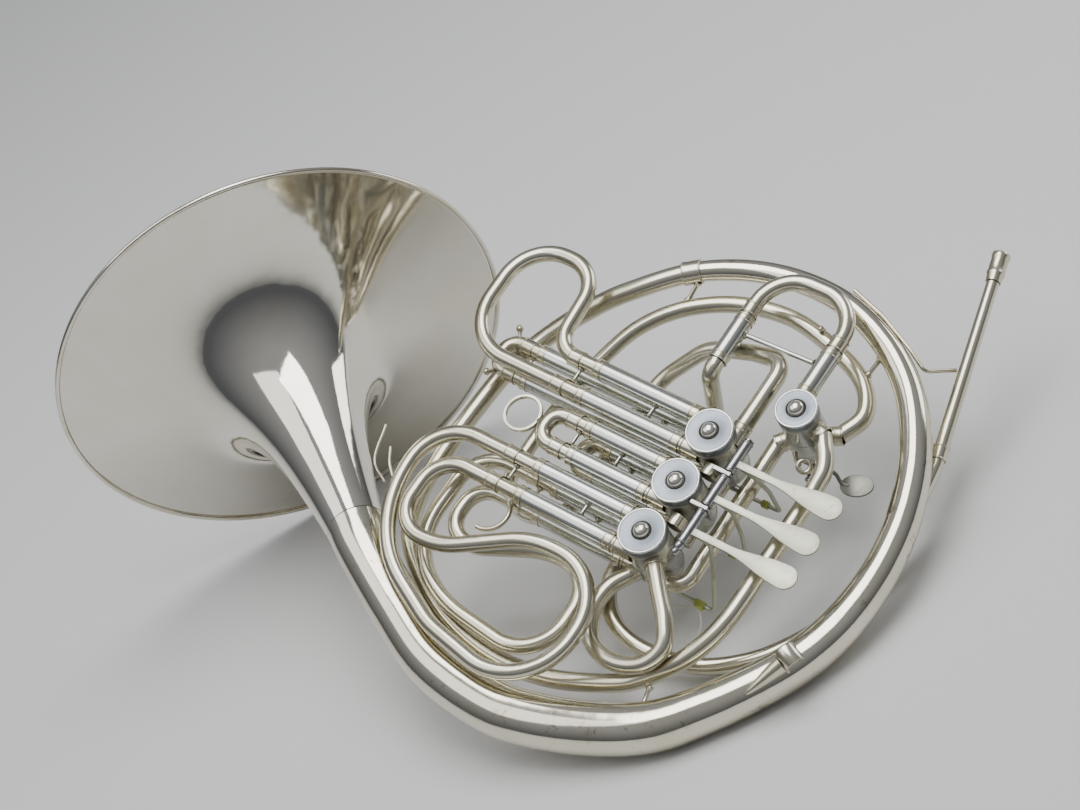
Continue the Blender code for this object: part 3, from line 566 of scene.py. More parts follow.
TAIL_KNOTS = [
    (-120.0, 110.0, -31.5), (-141.0, 90.0, -39.0), (-161.0, 66.0, -49.0), (-173.0, 34.0, -51.5),
    (-176.0, -6.0, -51.0), (-176.0, -42.0, -51.0), (-172.0, -71.0, -51.0), (-159.5, -97.0, -51.0),
    (-133.0, -117.0, -50.5), (-102.0, -131.0, -50.5), (-61.0, -137.5, -50.0),
    (-19.0, -133.0, -46.5), (20.5, -117.0, -43.5), (39.0, -105.0, -37.5), (57.5, -89.0, -26.0),
    (69.3, -62.4, -20.0), (71.1, -18.7, -19.0), (71.1, 17.3, -19.0), (71.3, 37.0, -18.0),
    (70.0, 53.0, -15.5), (57.8, 71.0, -15.0),
]


def make_branch():
    """The branch and its tail run on one smooth curve from the bell, cut at the ferrule."""
    parts = 8
    starts = [(*bell_line(depth), bell_radius(depth)) for depth in (BELL_DEPTH - 22.0, BELL_DEPTH)]
    ends = [(*knot, 6.0) for knot in TAIL_KNOTS]
    path = smooth([*starts, *BRANCH_KNOTS, *ends], parts)[parts:]
    cut = parts * len(BRANCH_KNOTS)
    spots = [Vector(point[:3]) for point in path]
    radii = [point[3] for point in path[:cut + 1]]
    stand_in("bell_branch", [sweep(spots[:cut + 1], radii, 48)], BRANCH)
    ahead = (spots[cut + 2] - spots[cut - 1]).normalized()
    middle = spots[cut] + ahead * 4.0
    beads = [torus(middle + ahead * shift, ahead, FERRULE_OUTER - 0.2, 0.5)
             for shift in (FERRULE_HALF - 0.4, 0.4 - FERRULE_HALF)]
    stand_in("branch_ferrule", [
        tube_ring(FERRULE_OUTER, TAIL_RADIUS, FERRULE_HALF, -FERRULE_HALF, middle, ahead),
        *beads,
    ], FITTING)
    tail = spots[cut:]
    radii = taper(tail, [(0.0, TAIL_RADIUS), (0.5, 6.1), (1.0, TUBE_RADIUS)])
    tube("bell_tail", tail, radii)


# ---- Leadpipe ----
RECEIVER_END = Vector((79.7, 237.4, -40.3))
LEADPIPE_JOINT = Vector((116.0, 98.7, -44.9))
RECEIVER_LENGTH = 20.0
RECEIVER_PROFILE = [
    (5.6, 0.0), (5.9, -0.4), (5.9, -3.2), (5.5, -4.0), (5.6, -13.0), (5.9, -13.6),
    (5.9, -14.4), (5.2, -16.0), (5.0, -RECEIVER_LENGTH), (3.6, -RECEIVER_LENGTH),
    (4.2, -1.0), (4.6, 0.0),
]
JOINT_BACK = 4.0  # the leadpipe stops this far short of its joint
LEADPIPE_KNOTS = [
    (121.0, 60.0, -46.5), (121.5, 20.0, -48.5), (112.5, -18.0, -50.0), (98.0, -46.0, -50.5),
    (80.0, -67.0, -50.5), (55.0, -83.0, -50.5), (20.0, -89.0, -50.5), (-6.0, -83.0, -50.5),
    (-22.0, -66.0, -50.5), (-26.5, -44.0, -50.5), (-26.5, 0.0, -50.5), (-26.5, 40.0, -50.5),
]


def make_leadpipe():
    """The receiver, the leadpipe, its return under the valves and the crook up to the slide."""
    down = (LEADPIPE_JOINT - RECEIVER_END).normalized()
    stand_in("mouthpiece_receiver",
             [lathe(RECEIVER_PROFILE, RECEIVER_END, -down, 48, wrap=True)], FITTING)
    start = RECEIVER_END + down * (RECEIVER_LENGTH + GAP)
    stop = LEADPIPE_JOINT - down * JOINT_BACK
    path = [start.lerp(stop, k / 12.0) for k in range(13)]
    tube("leadpipe", path, taper(path, [(0.0, 4.1), (1.0, 4.5)]))
    joint = LEADPIPE_JOINT - down * (JOINT_BACK - GAP)
    path = [joint, *smooth([joint + down * 8.0, *LEADPIPE_KNOTS])]
    radii = taper(path, [(0.0, 4.5), (0.5, 5.4), (1.0, CROOK_RADIUS)])
    tube("leadpipe_branch", path, radii)
    fitting("leadpipe_collar", [collar(joint, down, 5.1, 9.0)])
    path = bent([
        (-26.5, 40.0 + GAP, -50.5),
        (-26.5, 64.5, -50.5, 13.0),
        (-28.0, 70.0, -34.0, 14.0),
        (-28.5, 76.0, TUNING_LAYER, 8.6),
        (-28.5, 84.7, TUNING_LAYER),
    ])
    tube("tuning_crook", path, CROOK_RADIUS)


# ---- Slides ----
TUNING_U = (-28.5, 34.3)
TUNING_SLEEVE_V = ((85.0, 119.0), (87.6, 121.0))
TUNING_BOW_V = 156.0
TUNING_BEND = 26.0
BRACE_FOOT = [(3.0, 0.0), (2.7, 0.7), (1.6, 1.6), (1.3, 2.6)]


def make_main_tuning_slide():
    """Two sleeves with a brace between them, and the bow that pulls out of them."""
    sleeves = []
    bands = []
    caps = []
    for u, (low, high) in zip(TUNING_U, TUNING_SLEEVE_V):
        foot = Vector((u, low, TUNING_LAYER))
        sleeves.append(tube_ring(SLEEVE_OUTER, SLEEVE_BORE, high - low, 0.0, foot, ALONG_V))
        for v, width in ((low + 2.5, 5.0), (high - 2.2, 4.4)):
            bands.append(collar((u, v, TUNING_LAYER), ALONG_V, SLEEVE_OUTER + 0.15, width))
        caps.append(collar((u, high + 5.5, TUNING_LAYER), ALONG_V, LEG_RADIUS + 0.5, 8.0))
    left, right = TUNING_U
    brace = [Vector((left + 5.9, 108.0, TUNING_LAYER)), Vector((right - 5.9, 109.5, TUNING_LAYER))]
    sleeves.append(sweep(brace, 1.6, 16))
    stand_in("main_tuning_sleeves", sleeves, SLEEVE)
    for end, other in (brace, reversed(brace)):
        way = (other - end).normalized()
        bands.append(lathe(BRACE_FOOT, end + way * 0.1, way, 24))
    fitting("main_tuning_bands", bands)

    path = bent([
        (left, 90.0, TUNING_LAYER),
        (left, TUNING_BOW_V, TUNING_LAYER, TUNING_BEND),
        (right, TUNING_BOW_V, TUNING_LAYER, TUNING_BEND),
        (right, 92.0, TUNING_LAYER),
    ], step=5.0)
    stand_in("main_tuning_slide", [sweep(path, LEG_RADIUS, 32)], TUBE)
    fitting("main_tuning_bow_ferrules", caps, "main_tuning")


# for each valve, where the sleeves end along u, then the slide's corners as
# (u, v from the valve's line, bend radius)
F_SLIDES = {
    1: (-97.0, [(-131.0, P, 18.0), (-135.5, 70.0, 25.0), (-193.0, 70.0, 30.0),
                (-193.0, -P, 35.0)]),
    2: (-78.0, [(-104.5, P, 10.0), (-104.5, -P, 10.0)]),
    3: (-92.0, [(-171.0, P, 32.0), (-171.0, -72.5, 80.0), (-93.0, -108.8, 60.0),
                (-6.0, -124.0, 42.0), (-6.0, -31.0, 39.0), (-66.0, -31.0, 60.0),
                (-118.0, -63.5, 50.0), (-155.0, -63.5, 22.0), (-155.0, -P, 22.0)]),
}
B_SLIDES = {
    1: (-150.0, [(-175.0, P, 9.5), (-175.0, -P, 9.5)]),
    2: (-70.0, [(-84.5, P, 9.5), (-84.5, -P, 9.5)]),
    3: (-86.0, [(-147.5, P, 26.0), (-147.5, -65.4, 50.0), (-105.0, -88.0, 80.0),
                (-27.0, -95.3, 30.0), (-27.0, -28.4, 26.0), (-66.0, -28.4, 60.0),
                (-108.0, -47.4, 26.0), (-133.0, -47.4, 17.0), (-133.0, -P, 17.0)]),
}
BOW_FERRULE_U = {("f", 1): -113.0, ("f", 2): -88.0, ("f", 3): -111.0, ("b_flat", 1): -160.0,
                 ("b_flat", 3): -101.0}
SLEEVE_BRACE_U = -48.0
SLEEVE_BRACE_FOOT = [(2.7, 0.0), (2.5, 0.5), (1.6, 1.3), (1.3, 2.0)]
BOW_BRACE_FOOT = [(2.5, 0.0), (2.2, 0.7), (1.4, 1.4), (1.2, 2.2)]
BRACE_REACH = P - 5.9  # half the clear distance between two sleeves


def make_valve_slide(prefix, number, layer, sleeve_end, corners):
    """One valve's pair of sleeves, and the slide that pulls out of them."""
    v = VALVE_V[number]
    sleeves = []
    bands = []
    for side in (1, -1):
        leg = v + side * P
        sleeves.append(tube_ring(SLEEVE_OUTER, SLEEVE_BORE, SLEEVE_START - sleeve_end, 0.0,
                                 (SLEEVE_START, leg, layer), (-1, 0, 0)))
        for u, width in ((sleeve_end + 2.6, 5.2), (SLEEVE_START - 3.2, 6.0)):
            bands.append(collar((u, leg, layer), ALONG_U, SLEEVE_OUTER + 0.15, width))
    sleeves.append(sweep([(SLEEVE_BRACE_U, v + BRACE_REACH, layer),
                          (SLEEVE_BRACE_U, v - BRACE_REACH, layer)], 1.3, 16))
    stand_in(f"{prefix}_sleeves_{number}", sleeves, SLEEVE)
    for side in (1, -1):
        foot = (SLEEVE_BRACE_U, v + side * (BRACE_REACH - 0.1), layer)
        bands.append(lathe(SLEEVE_BRACE_FOOT, foot, (0, -side, 0), 24))
    fitting(f"{prefix}_sleeve_bands_{number}", bands)

    inside = SLEEVE_START - 8.0
    path = bent([(inside, v + P, layer),
                 *[(u, v + dv, layer, radius) for u, dv, radius in corners],
                 (inside, v - P, layer)], step=5.0)
    stand_in(f"{prefix}_slide_{number}", [sweep(path, LEG_RADIUS, 32)], TUBE)
    if (prefix, number) not in BOW_FERRULE_U:
        return
    ferrule = BOW_FERRULE_U[prefix, number]
    bands = [collar((ferrule, v + side * P, layer), ALONG_U, LEG_RADIUS + 0.45, 9.0)
             for side in (1, -1)]
    brace_u = ferrule + 6.5
    bands.append(sweep([(brace_u, v + BRACE_REACH + 0.8, layer),
                        (brace_u, v - BRACE_REACH - 0.8, layer)], 1.2, 16))
    for side in (1, -1):
        foot = (brace_u, v + side * (BRACE_REACH + 0.6), layer)
        bands.append(lathe(BOW_BRACE_FOOT, foot, (0, -side, 0), 24))
    fitting(f"{prefix}_slide_ferrules_{number}", bands, f"{prefix}_tuning_{number}")


PULL_RING_BAND = [(12.9, 1.3), (12.7, 1.5), (11.3, 1.5), (11.1, 1.3), (11.1, -1.3), (11.3, -1.5),
                  (12.7, -1.5), (12.9, -1.3)]
PULL_RING_FOOT = [(2.6, 0.0), (2.2, 0.6), (1.5, 1.6)]


def make_slides():
    """Every valve's slides, and the second F slide's pull ring."""
    for number, (sleeve_end, corners) in F_SLIDES.items():
        make_valve_slide("f", number, F_LAYER, sleeve_end, corners)
    for number, (sleeve_end, corners) in B_SLIDES.items():
        make_valve_slide("b_flat", number, B_LAYER, sleeve_end, corners)
    middle = Vector((-104.5 - LEG_RADIUS - GAP - 1.3 - 11.6, 0.0, F_LAYER))
    stand_in("f_pull_ring_2", [
        lathe(PULL_RING_BAND, middle, UP, 72, wrap=True),
        lathe(PULL_RING_FOOT, middle + Vector((13.1, 0, 0)), (-1, 0, 0), 24),
    ], FITTING)


# ---- Valves ----
CASING_BEADS = (-8.4, -27.0, -44.6)
CASING_FLOOR = CASING_BOTTOM + 2.5
SPINDLE_HOLE = SPINDLE_RADIUS + 0.6
SPINDLE_END = -49.5
STOP_FINGER_LOW = {n: (-13.5, -2.2, -52.3) for n in (1, 2, 3)} | {4: (-2.2, 1.0, -52.3)}
STOP_FINGER_HIGH = {n: (-1.0, 2.2, -50.3) for n in (1, 2, 3)} | {4: (2.2, 12.5, -50.3)}
STOP_PROFILE = [
    (0.0, -49.8), (4.8, -49.8), (STOP_HUB_RADIUS, -50.2), (STOP_HUB_RADIUS, -53.5),
    (4.7, -54.0), (4.7, -56.2), (STOP_HUB_RADIUS, -56.8), (5.0, -57.5), (2.2, -57.5),
    (2.0, -57.0), (0.0, -57.0),
]
CAP_OVERHANG = 0.4
CAP_SOFT = 0.8
CAP_RIM_WIRE = 0.95
DOME_RADIUS = 5.2
DOME_HEIGHT = 4.1


def valve_places():
    """Each valve's number, the middle of its cap and its casing's radius."""
    for number, v in VALVE_V.items():
        yield number, Vector((0.0, v, 0.0)), CASING_RADIUS
    yield 4, Vector((*THUMB_VALVE, 0.0)), THUMB_CASING_RADIUS


def make_cap(number, centre, radius):
    """A screw cap: a satin disk in a bright rim, and the bearing's dome in its middle."""
    cap = radius + CAP_OVERHANG
    edge = []
    for k in range(13):
        a = math.pi / 2.0 * k / 12.0
        edge.append((cap - CAP_SOFT + CAP_SOFT * math.sin(a), -CAP_SOFT + CAP_SOFT * math.cos(a)))
    stand_in(f"valve_cap_{number}", [lathe(
        [(0.0, -0.35), (6.1, -0.35), (6.3, -0.10), (6.5, 0.0), (cap - 1.25, 0.0),
         (cap - 1.15, -0.10), (cap - 1.0, -0.06), *edge, (cap, -2.4), (cap - 0.25, -2.7),
         (cap, -3.0), (cap, CASING_TOP + 0.8), (cap - 0.3, CASING_TOP + GAP),
         (0.0, CASING_TOP + GAP)],
        centre, UP, 96)], CAP)
    rim = []
    for k in range(13):
        a = 2.0 * math.pi * k / 13.0
        rim.append((cap - 0.85 + CAP_RIM_WIRE * math.cos(a), -0.65 + CAP_RIM_WIRE * math.sin(a)))
    piece(f"valve_cap_rim_{number}", [lathe(rim, centre, UP, 96, wrap=True)], "corpus", CAP_RIM)
    dome = [(5.3, -0.6), (5.35, -0.3)]
    for k in range(17):
        a = math.pi / 2.0 * k / 16.0
        dome.append((DOME_RADIUS * math.cos(a), -0.2 + DOME_HEIGHT * math.sin(a)))
    piece(f"valve_dome_{number}", [lathe(dome, centre, UP, 48)], "corpus", DOME)
    piece(f"valve_ring_shadow_{number}",
          [torus(centre + Vector((0, 0, -0.25)), UP, 5.75, 0.3, 48, 8)], "corpus", DARK)


def make_valve(number, centre, radius):
    """A casing with raised bands, its rotor, its cap and the stop arm under it."""
    bore = radius - CASING_WALL
    outer = [(radius - 0.2, CASING_TOP), (radius, CASING_TOP - 0.2)]
    for w in CASING_BEADS:
        outer += [(radius, w + 1.0), (radius + 0.32, w + 0.8), (radius + 0.32, w - 0.8),
                  (radius, w - 1.0)]
    stand_in(f"valve_casing_{number}", [lathe(
        [*outer, (radius, CASING_BOTTOM + 0.8), (radius - 0.8, CASING_BOTTOM),
         (7.0, CASING_BOTTOM), (6.6, CASING_BOTTOM - 0.9), (4.2, CASING_BOTTOM - 0.9),
         (SPINDLE_HOLE, CASING_BOTTOM - 0.6), (SPINDLE_HOLE, CASING_FLOOR),
         (bore, CASING_FLOOR), (bore, CASING_TOP)],
        centre, UP, 72, wrap=True)], VALVE)
    stand_in(f"rotor_{number}", [lathe(
        [(0.0, CASING_TOP - 1.0), (bore - 0.5, CASING_TOP - 1.0), (bore - 0.5, CASING_FLOOR + 0.5),
         (SPINDLE_RADIUS, CASING_FLOOR + 0.5), (SPINDLE_RADIUS, SPINDLE_END),
         (0.0, SPINDLE_END)],
        centre, UP, 48)], BRASS)
    make_cap(number, centre, radius)
    low = centre + Vector(STOP_FINGER_LOW[number])
    high = centre + Vector(STOP_FINGER_HIGH[number])
    stand_in(f"stop_arm_{number}", [lathe(STOP_PROFILE, centre, UP, 40), block(low, high)], STEEL)


def make_valves():
    """The three finger valves and the thumb valve."""
    for number, centre, radius in valve_places():
        make_valve(number, centre, radius)


STUB_RADIUS = 6.0
SLEEVE_STUB_RADIUS = 5.9
STUB_SINK = 0.9  # how far a stub reaches into the casing's wall


def port(centre, reach, end, way, radius):
    """A stub from an upright casing to a tube's end, cut to the casing's round wall."""
    way = Vector((way[0], way[1], 0.0)).normalized()
    side = Vector((-way.y, way.x, 0.0))
    mouth = circle(Vector(end), radius, side, Vector(UP), 32)
    foot = []
    for spot in mouth:
        off = spot - Vector(centre)
        flat = Vector((off.x, off.y, 0.0))
        across = flat.dot(side)
        run = flat.dot(way) - math.sqrt(max(reach**2 - across**2, 9.0))
        foot.append(spot - way * max(run, 0.2))
    return skin([foot, mouth], ends=True)


def make_ports():
    """Stubs and solder collars that join the casings to their tubes."""
    shapes = []
    bands = []
    for v in VALVE_V.values():
        for layer in (F_LAYER, B_LAYER):
            for side in (1, -1):
                end = Vector((SLEEVE_START + 0.2, v + side * P, layer))
                shapes.append(port((0.0, v, 0.0), CASING_RADIUS - STUB_SINK, end, (-1, 0),
                                   SLEEVE_STUB_RADIUS))
                bands.append(torus(end + Vector((1.6, 0, 0)), ALONG_U, SLEEVE_STUB_RADIUS, 0.55))
    first = ((0.0, VALVE_V[1], 0.0), CASING_RADIUS)
    third = ((0.0, VALVE_V[3], 0.0), CASING_RADIUS)
    thumb = ((*THUMB_VALVE, 0.0), THUMB_CASING_RADIUS)
    for end, way, (centre, reach) in (
        ((10.5, 52.6, F_LAYER), (0, 1), first),
        ((12.0, -48.0, F_LAYER), (13, -14), third),
        ((14.4, -48.5, B_LAYER), (1, 0), third),
        ((-7.5, -52.8, B_LAYER), (-8, -16), third),
        ((58.0, 71.0, F_LAYER), (1, -0.16), thumb),
        ((57.8, 83.2, B_LAYER), (1, 0.53), thumb),
        ((28.5, 60.2, -32.0), (-0.66, -0.75), thumb),
    ):
        shapes.append(port(centre, reach - STUB_SINK, end, way, STUB_RADIUS))
        run = Vector((*way, 0.0)).normalized()
        bands.append(collar(Vector(end) - run * 0.6, run, STUB_RADIUS + 0.1, 5.0))
    piece("valve_ports", shapes, "corpus", TUBE)
    fitting("valve_port_bands", bands)


def make_connecting_tubes():
    """The knuckles between neighbouring valves and the tubes that join them to the horn."""
    half = 3.9
    for pair, v in (("1_2", VALVE_PITCH / 2.0), ("2_3", -VALVE_PITCH / 2.0)):
        for side, layer in (("f", F_LAYER), ("b_flat", B_LAYER)):
            path = [Vector((9.0, v + half, layer)), Vector((9.0, v - half, layer))]
            tube(f"knuckle_{side}_{pair}", path)
    path = bent([
        (10.5, 52.4, F_LAYER),
        (10.5, 104.0, F_LAYER, 13.0),
        (-17.0, 104.0, -24.0, 20.0),
        (-48.0, 97.0, -30.0, 34.0),
        (-76.0, 72.0, -52.0, 26.0),
        (-76.0, -47.5, -52.0, 25.0),
        (-126.5, -47.5, -51.5, 25.0),
        (-126.5, 10.0, -51.5),
    ])
    radii = taper(path, [(0.0, TUBE_RADIUS), (0.4, 5.2), (1.0, 4.8)])
    tube("valve_1_return_tube", path, radii)
    path = [Vector((-126.5, 10.0 + GAP, -51.5))]
    path += smooth([
        (-126.5, 18.0, -51.5),
        (-124.0, 36.0, -50.5),
        (-117.5, 62.0, -46.0),
        (-104.0, 93.0, -40.0),
        (-82.0, 117.0, -37.0),
        (-51.0, 134.5, -37.0),
        (-13.0, 140.5, -37.0),
        (24.0, 132.5, -37.0),
        (50.5, 120.5, -37.0),
        (63.5, 101.5, -37.0),
        (57.5, 83.0, -37.0),
    ])
    radii = taper(path, [(0.0, 4.7), (0.5, CROOK_RADIUS), (1.0, TUBE_RADIUS)])
    tube("top_inner_loop", path, radii)
    path = bent([(28.5, 60.4, -32.0), (27.0, -48.5, B_LAYER, 11.0), (14.3, -48.5, B_LAYER)])
    tube("valve_3_feed_tube", path, 5.5)
    path = smooth([
        (12.0, -48.0, F_LAYER),
        (25.0, -62.0, -15.3),
        (38.0, -76.0, -16.0),
        (45.5, -90.5, -19.0),
        (37.5, -104.0, -24.0),
        (19.0, -110.0, -28.0),
        (-2.0, -104.5, -32.0),
        (-14.5, -88.0, -35.5),
        (-16.0, -69.0, B_LAYER),
        (-7.5, -52.8, B_LAYER),
    ])
    tube("valve_3_loop", path, CROOK_RADIUS)


# ---- Levers and linkage ----
def paddle_outline():
    """A finger lever from above: a straight arm that swells into a round-ended paddle."""
    start = 2.9
    swell = 27.0
    end = PADDLE_END_U - ROD_U
    round_u = end - PADDLE_HALF_WIDTH
    upper = []
    for k in range(25):
        u = start + (round_u - start) * k / 24.0
        t = max(0.0, (u - swell) / (round_u - swell))
        ease = t * t * (3.0 - 2.0 * t)
        upper.append((u, ARM_HALF_WIDTH + (PADDLE_HALF_WIDTH - ARM_HALF_WIDTH) * ease))
    for k in range(1, 12):
        angle = math.pi / 2.0 * (1.0 - k / 12.0)
        upper.append((round_u + PADDLE_HALF_WIDTH * math.cos(angle),
                      PADDLE_HALF_WIDTH * math.sin(angle)))
    lower = [(u, -half) for u, half in reversed(upper)]
    return [*upper, (end, 0.0), *lower]


def make_lever(number):
    """A finger lever: its hub, its paddle, and the tail down to its string bar."""
    v = LEVER_V[number]
    low, high = LEVER_HUB_V[number]
    bar_v = VALVE_V[number] - STRING_BAR_OFFSET
    tail = bent([
        (27.1, v, -5.7),
        (37.5, v, -13.2, 6.0),
        (43.0, (v + bar_v) / 2.0, -28.0, 8.0),
        (43.0, bar_v, STRING_BAR_W, 4.0),
        (-5.0, bar_v, STRING_BAR_W),
    ], step=10.0)
    piece(f"lever_hub_{number}", [
        tube_ring(HUB_RADIUS, HUB_BORE, high - v, low - v, (ROD_U, v, ROD_W), ALONG_V),
        *(torus((ROD_U, end + way * 0.9, ROD_W), ALONG_V, HUB_RADIUS - 0.1, 0.45)
          for end, way in ((low, 1), (high, -1))),
    ], f"key_{number}", STEEL)
    stand_in(f"lever_{number}", [
        slab(paddle_outline(), LEVER_THICKNESS, (ROD_U, v, ROD_W + 1.0), ALONG_U, ALONG_V),
        sweep(tail, STRING_BAR_RADIUS, 16),
    ], LEVER)


def make_levers():
    """The three finger levers, their rod with its knobs and posts, and their strings."""
    for number in LEVER_V:
        make_lever(number)
    top = 44.6
    bottom = -35.0
    knob = 3.3
    rod = [lathe([(0.0, top), (2.6, top - 0.1), (knob, top - 0.7), (knob, top - 1.6),
                  (2.6, top - 1.8), (ROD_RADIUS, top - 1.8), (ROD_RADIUS, bottom + 2.2),
                  (3.1, bottom + 2.2), (knob, bottom + 1.6), (3.1, bottom - 0.4),
                  (2.2, bottom - 1.7), (0.0, bottom - 2.2)],
                 (ROD_U, 0.0, ROD_W), ALONG_V, 36)]
    for v in (18.6, -6.8):
        rod.append(block((15.4, v - 1.2, -17.0), (ROD_U + 3.0, v + 1.2, ROD_W + 3.0)))
    stand_in("lever_rod", rod, STEEL)
    for number, v in VALVE_V.items():
        make_string(number, v, -3.0, 16.0)


def make_string(number, valve_v, low_u, high_u):
    """The straight run of a string beside its stop arm's hub."""
    v = valve_v - STOP_HUB_RADIUS - STRING_RADIUS - GAP
    path = [(high_u, v, STRING_W), (low_u, v, STRING_W)]
    stand_in(f"linkage_cord_{number}", [sweep(path, STRING_RADIUS, 12)], STRING)


def make_thumb_lever():
    """The thumb lever with its oval plate, its rod and post, and its string."""
    u, w = THUMB_ROD_U, THUMB_ROD_W
    origin = (u, 56.0, w)
    paddle = []
    for k in range(48):
        angle = 2.0 * math.pi * k / 48.0
        out = THUMB_PLATE_LONG * math.cos(angle)
        across = THUMB_PLATE_WIDE * math.sin(angle)
        paddle.append((0.9 * out - 0.43 * across, 0.43 * out + 0.9 * across))
    arm = bent([(u + 2.9, 57.0, w - 0.9), (68.0, 60.5, w - 3.1, 5.0), (74.5, 56.5, w - 7.0, 5.0),
                (79.0, 58.0, w - 7.0)], step=10.0)
    bar_v = THUMB_VALVE[1] - STRING_BAR_OFFSET
    tail = bent([(u, 59.0, w - 3.0), (u, 59.0, w - 9.0, 3.0), (u, bar_v, STRING_BAR_W, 4.0),
                 (THUMB_VALVE[0] - 7.0, bar_v, STRING_BAR_W)], step=10.0)
    stand_in("thumb_lever", [
        tube_ring(HUB_RADIUS, HUB_BORE, 6.0, -6.0, origin, ALONG_V),
        slab(paddle, LEVER_THICKNESS, (83.0, 60.0, w - 7.0), ALONG_U, ALONG_V),
        sweep(arm, 1.3, 16),
        sweep(tail, STRING_BAR_RADIUS, 16),
    ], SHADED_THUMB)
    stand_in("thumb_lever_rod", [
        lathe([(0.0, 11.5), (ROD_RADIUS - 0.3, 11.5), (ROD_RADIUS, 11.2), (ROD_RADIUS, -7.5),
               (2.8, -7.5), (3.0, -7.8), (3.0, -9.2), (2.6, -9.5), (0.0, -9.5)],
              origin, ALONG_V, 36),
        block((u - 2.5, 63.5, w - 3.0), (u + 2.5, 66.0, -21.6)),
    ], STEEL)
    make_string(4, THUMB_VALVE[1], THUMB_VALVE[0] - 3.0, THUMB_VALVE[0] + 13.0)


# ---- Braces and the finger hook ----
def make_hand_pieces():
    """The leadpipe's brace and the hook for the little finger."""
    path = bent([
        (95.2, 155.6, -43.0),
        (84.5, 141.0, -29.5, 5.0),
        (70.2, 148.6, -25.4, 16.0),
        (42.8, 161.4, -24.7, 30.0),
        (16.4, 169.8, -24.4),
    ])
    stand_in("leadpipe_brace", [sweep(path, 1.3, 16)], FITTING)

    out = (HOOK_OUT - HOOK_OUT.project(HOOK_FOOT - HOOK_TIP)).normalized()
    way = (HOOK_FOOT - HOOK_TIP).normalized()
    low = HOOK_TIP + out * 1.2
    high = HOOK_FOOT + out * (HOOK_RADIUS + GAP)
    length = (high - low).length
    profile = []
    for k in range(1, 25):
        t = k / 24.0
        profile.append((HOOK_RADIUS * (1.0 - t) ** 0.75 + 0.8 * t, -length * t))
    outside = 6.6
    strip = []
    for radius, order in ((outside, range(25)), (5.0, reversed(range(25)))):
        for k in order:
            angle = math.radians(180.0 - 190.0 * k / 24.0)
            strip.append((outside + radius * math.cos(angle), 7.0 + radius * math.sin(angle)))
    outline = [(0.0, 0.6), *strip, (1.6, 0.6)]
    stand_in("finger_hook", [
        lathe([(0.0, 0.0), (HOOK_RADIUS - 0.5, 0.0), (HOOK_RADIUS, -0.5), *profile,
               (0.0, -length)], high, high - low, 40),
        slab(outline, 11.5, HOOK_FOOT - way * 0.8, way, out, soft=0.2),
    ], FITTING)


# ---- Small fittings ----
STRUT_RADIUS = 1.5
STRUT_FOOT = [(2.7, -0.5), (2.7, 0.3), (STRUT_RADIUS + 0.5, 1.1), (STRUT_RADIUS, 2.2)]
POSTS = (
    ((-81.0, 134.0, -30.0), (-83.0, 122.3, -35.5)),
    ((55.0, 136.5, -29.5), (51.5, 126.0, -35.0)),
    ((46.5, -127.0, -40.0), (42.0, -110.0, -41.5)),
)


def strut(a, b):
    """A short brace between two tubes' surfaces, with a flared foot at each end."""
    a = Vector(a)
    b = Vector(b)
    way = (b - a).normalized()
    return [sweep([a, a.lerp(b, 0.5), b], STRUT_RADIUS, 16), lathe(STRUT_FOOT, a, way, 24),
            lathe(STRUT_FOOT, b, -way, 24)]


def make_posts():
    """Distance posts between the branch, the inner loop and the tail, and one with a ball."""
    posts = []
    for a, b in POSTS:
        posts += strut(a, b)
    posts.append(lathe([(2.4, -0.5), (2.2, 0.3), (1.5, 1.0), (1.4, 2.0)], (9.9, 139.5, -32.4),
                       (0.1, -0.2, 1.0), 24))
    posts.append(ball((10.2, 138.8, -29.0), 2.1))
    fitting("distance_posts", posts)


def make_slide_grips():
    """Ball knobs on the first B flat slide and an open pull ring on the third."""
    knobs = []
    for foot, out in (((-170.6, 52.3, -35.0), (-0.35, 0.75, 0.45)),
                      ((-171.6, 22.9, -35.0), (-0.5, -0.65, 0.5))):
        foot = Vector(foot)
        out = Vector(out).normalized()
        knobs.append(lathe([(1.6, 0.0), (1.3, 1.4), (1.2, 2.6)], foot, out, 20))
        knobs.append(ball(foot + out * 4.4, 2.5))
    fitting("b_flat_knobs_1", knobs, "b_flat_tuning_1")
    fitting("b_flat_pull_ring_3", [torus((-111.5, -61.5, -30.0), UP, 13.4, 1.6, 48, 12,
                                         -95.0, 100.0, toward=ALONG_U)], "b_flat_tuning_3")


def make_wires():
    """Two bent wires beside the bell's stem, and the ring on a post under the thumb valve."""
    wires = [smooth([(-231.1, -34.7, -60.0), (-222.6, -59.6, -60.0), (-205.4, -69.8, -59.0)], 6),
             smooth([(-211.8, -49.3, -50.0), (-205.4, -59.0, -50.0), (-198.0, -66.0, -51.0)], 6)]
    fitting("stem_wires", [sweep(wire, 0.9, 10) for wire in wires])
    ring = Vector((56.5, 49.6, -20.0))
    post = [ring + Vector(shift) for shift in ((-4.0, 0.6, -2.0), (-9.0, 3.0, -6.5),
                                               (-14.0, 8.0, -8.0))]
    fitting("ring_post", [torus(ring, (0.45, -0.2, 0.87), 3.7, 1.5, 36, 14),
                          sweep(post, [1.3, 1.5, 1.7], 14)])


def wound_string(number, first_u, turns):
    """Turns of string round a lever's string bar."""
    v = VALVE_V[number] - STRING_BAR_OFFSET
    return [torus((first_u + k * 1.25, v, STRING_BAR_W), (1, 0.1, 0), 2.0, 0.6, 24, 8)
            for k in range(turns)]


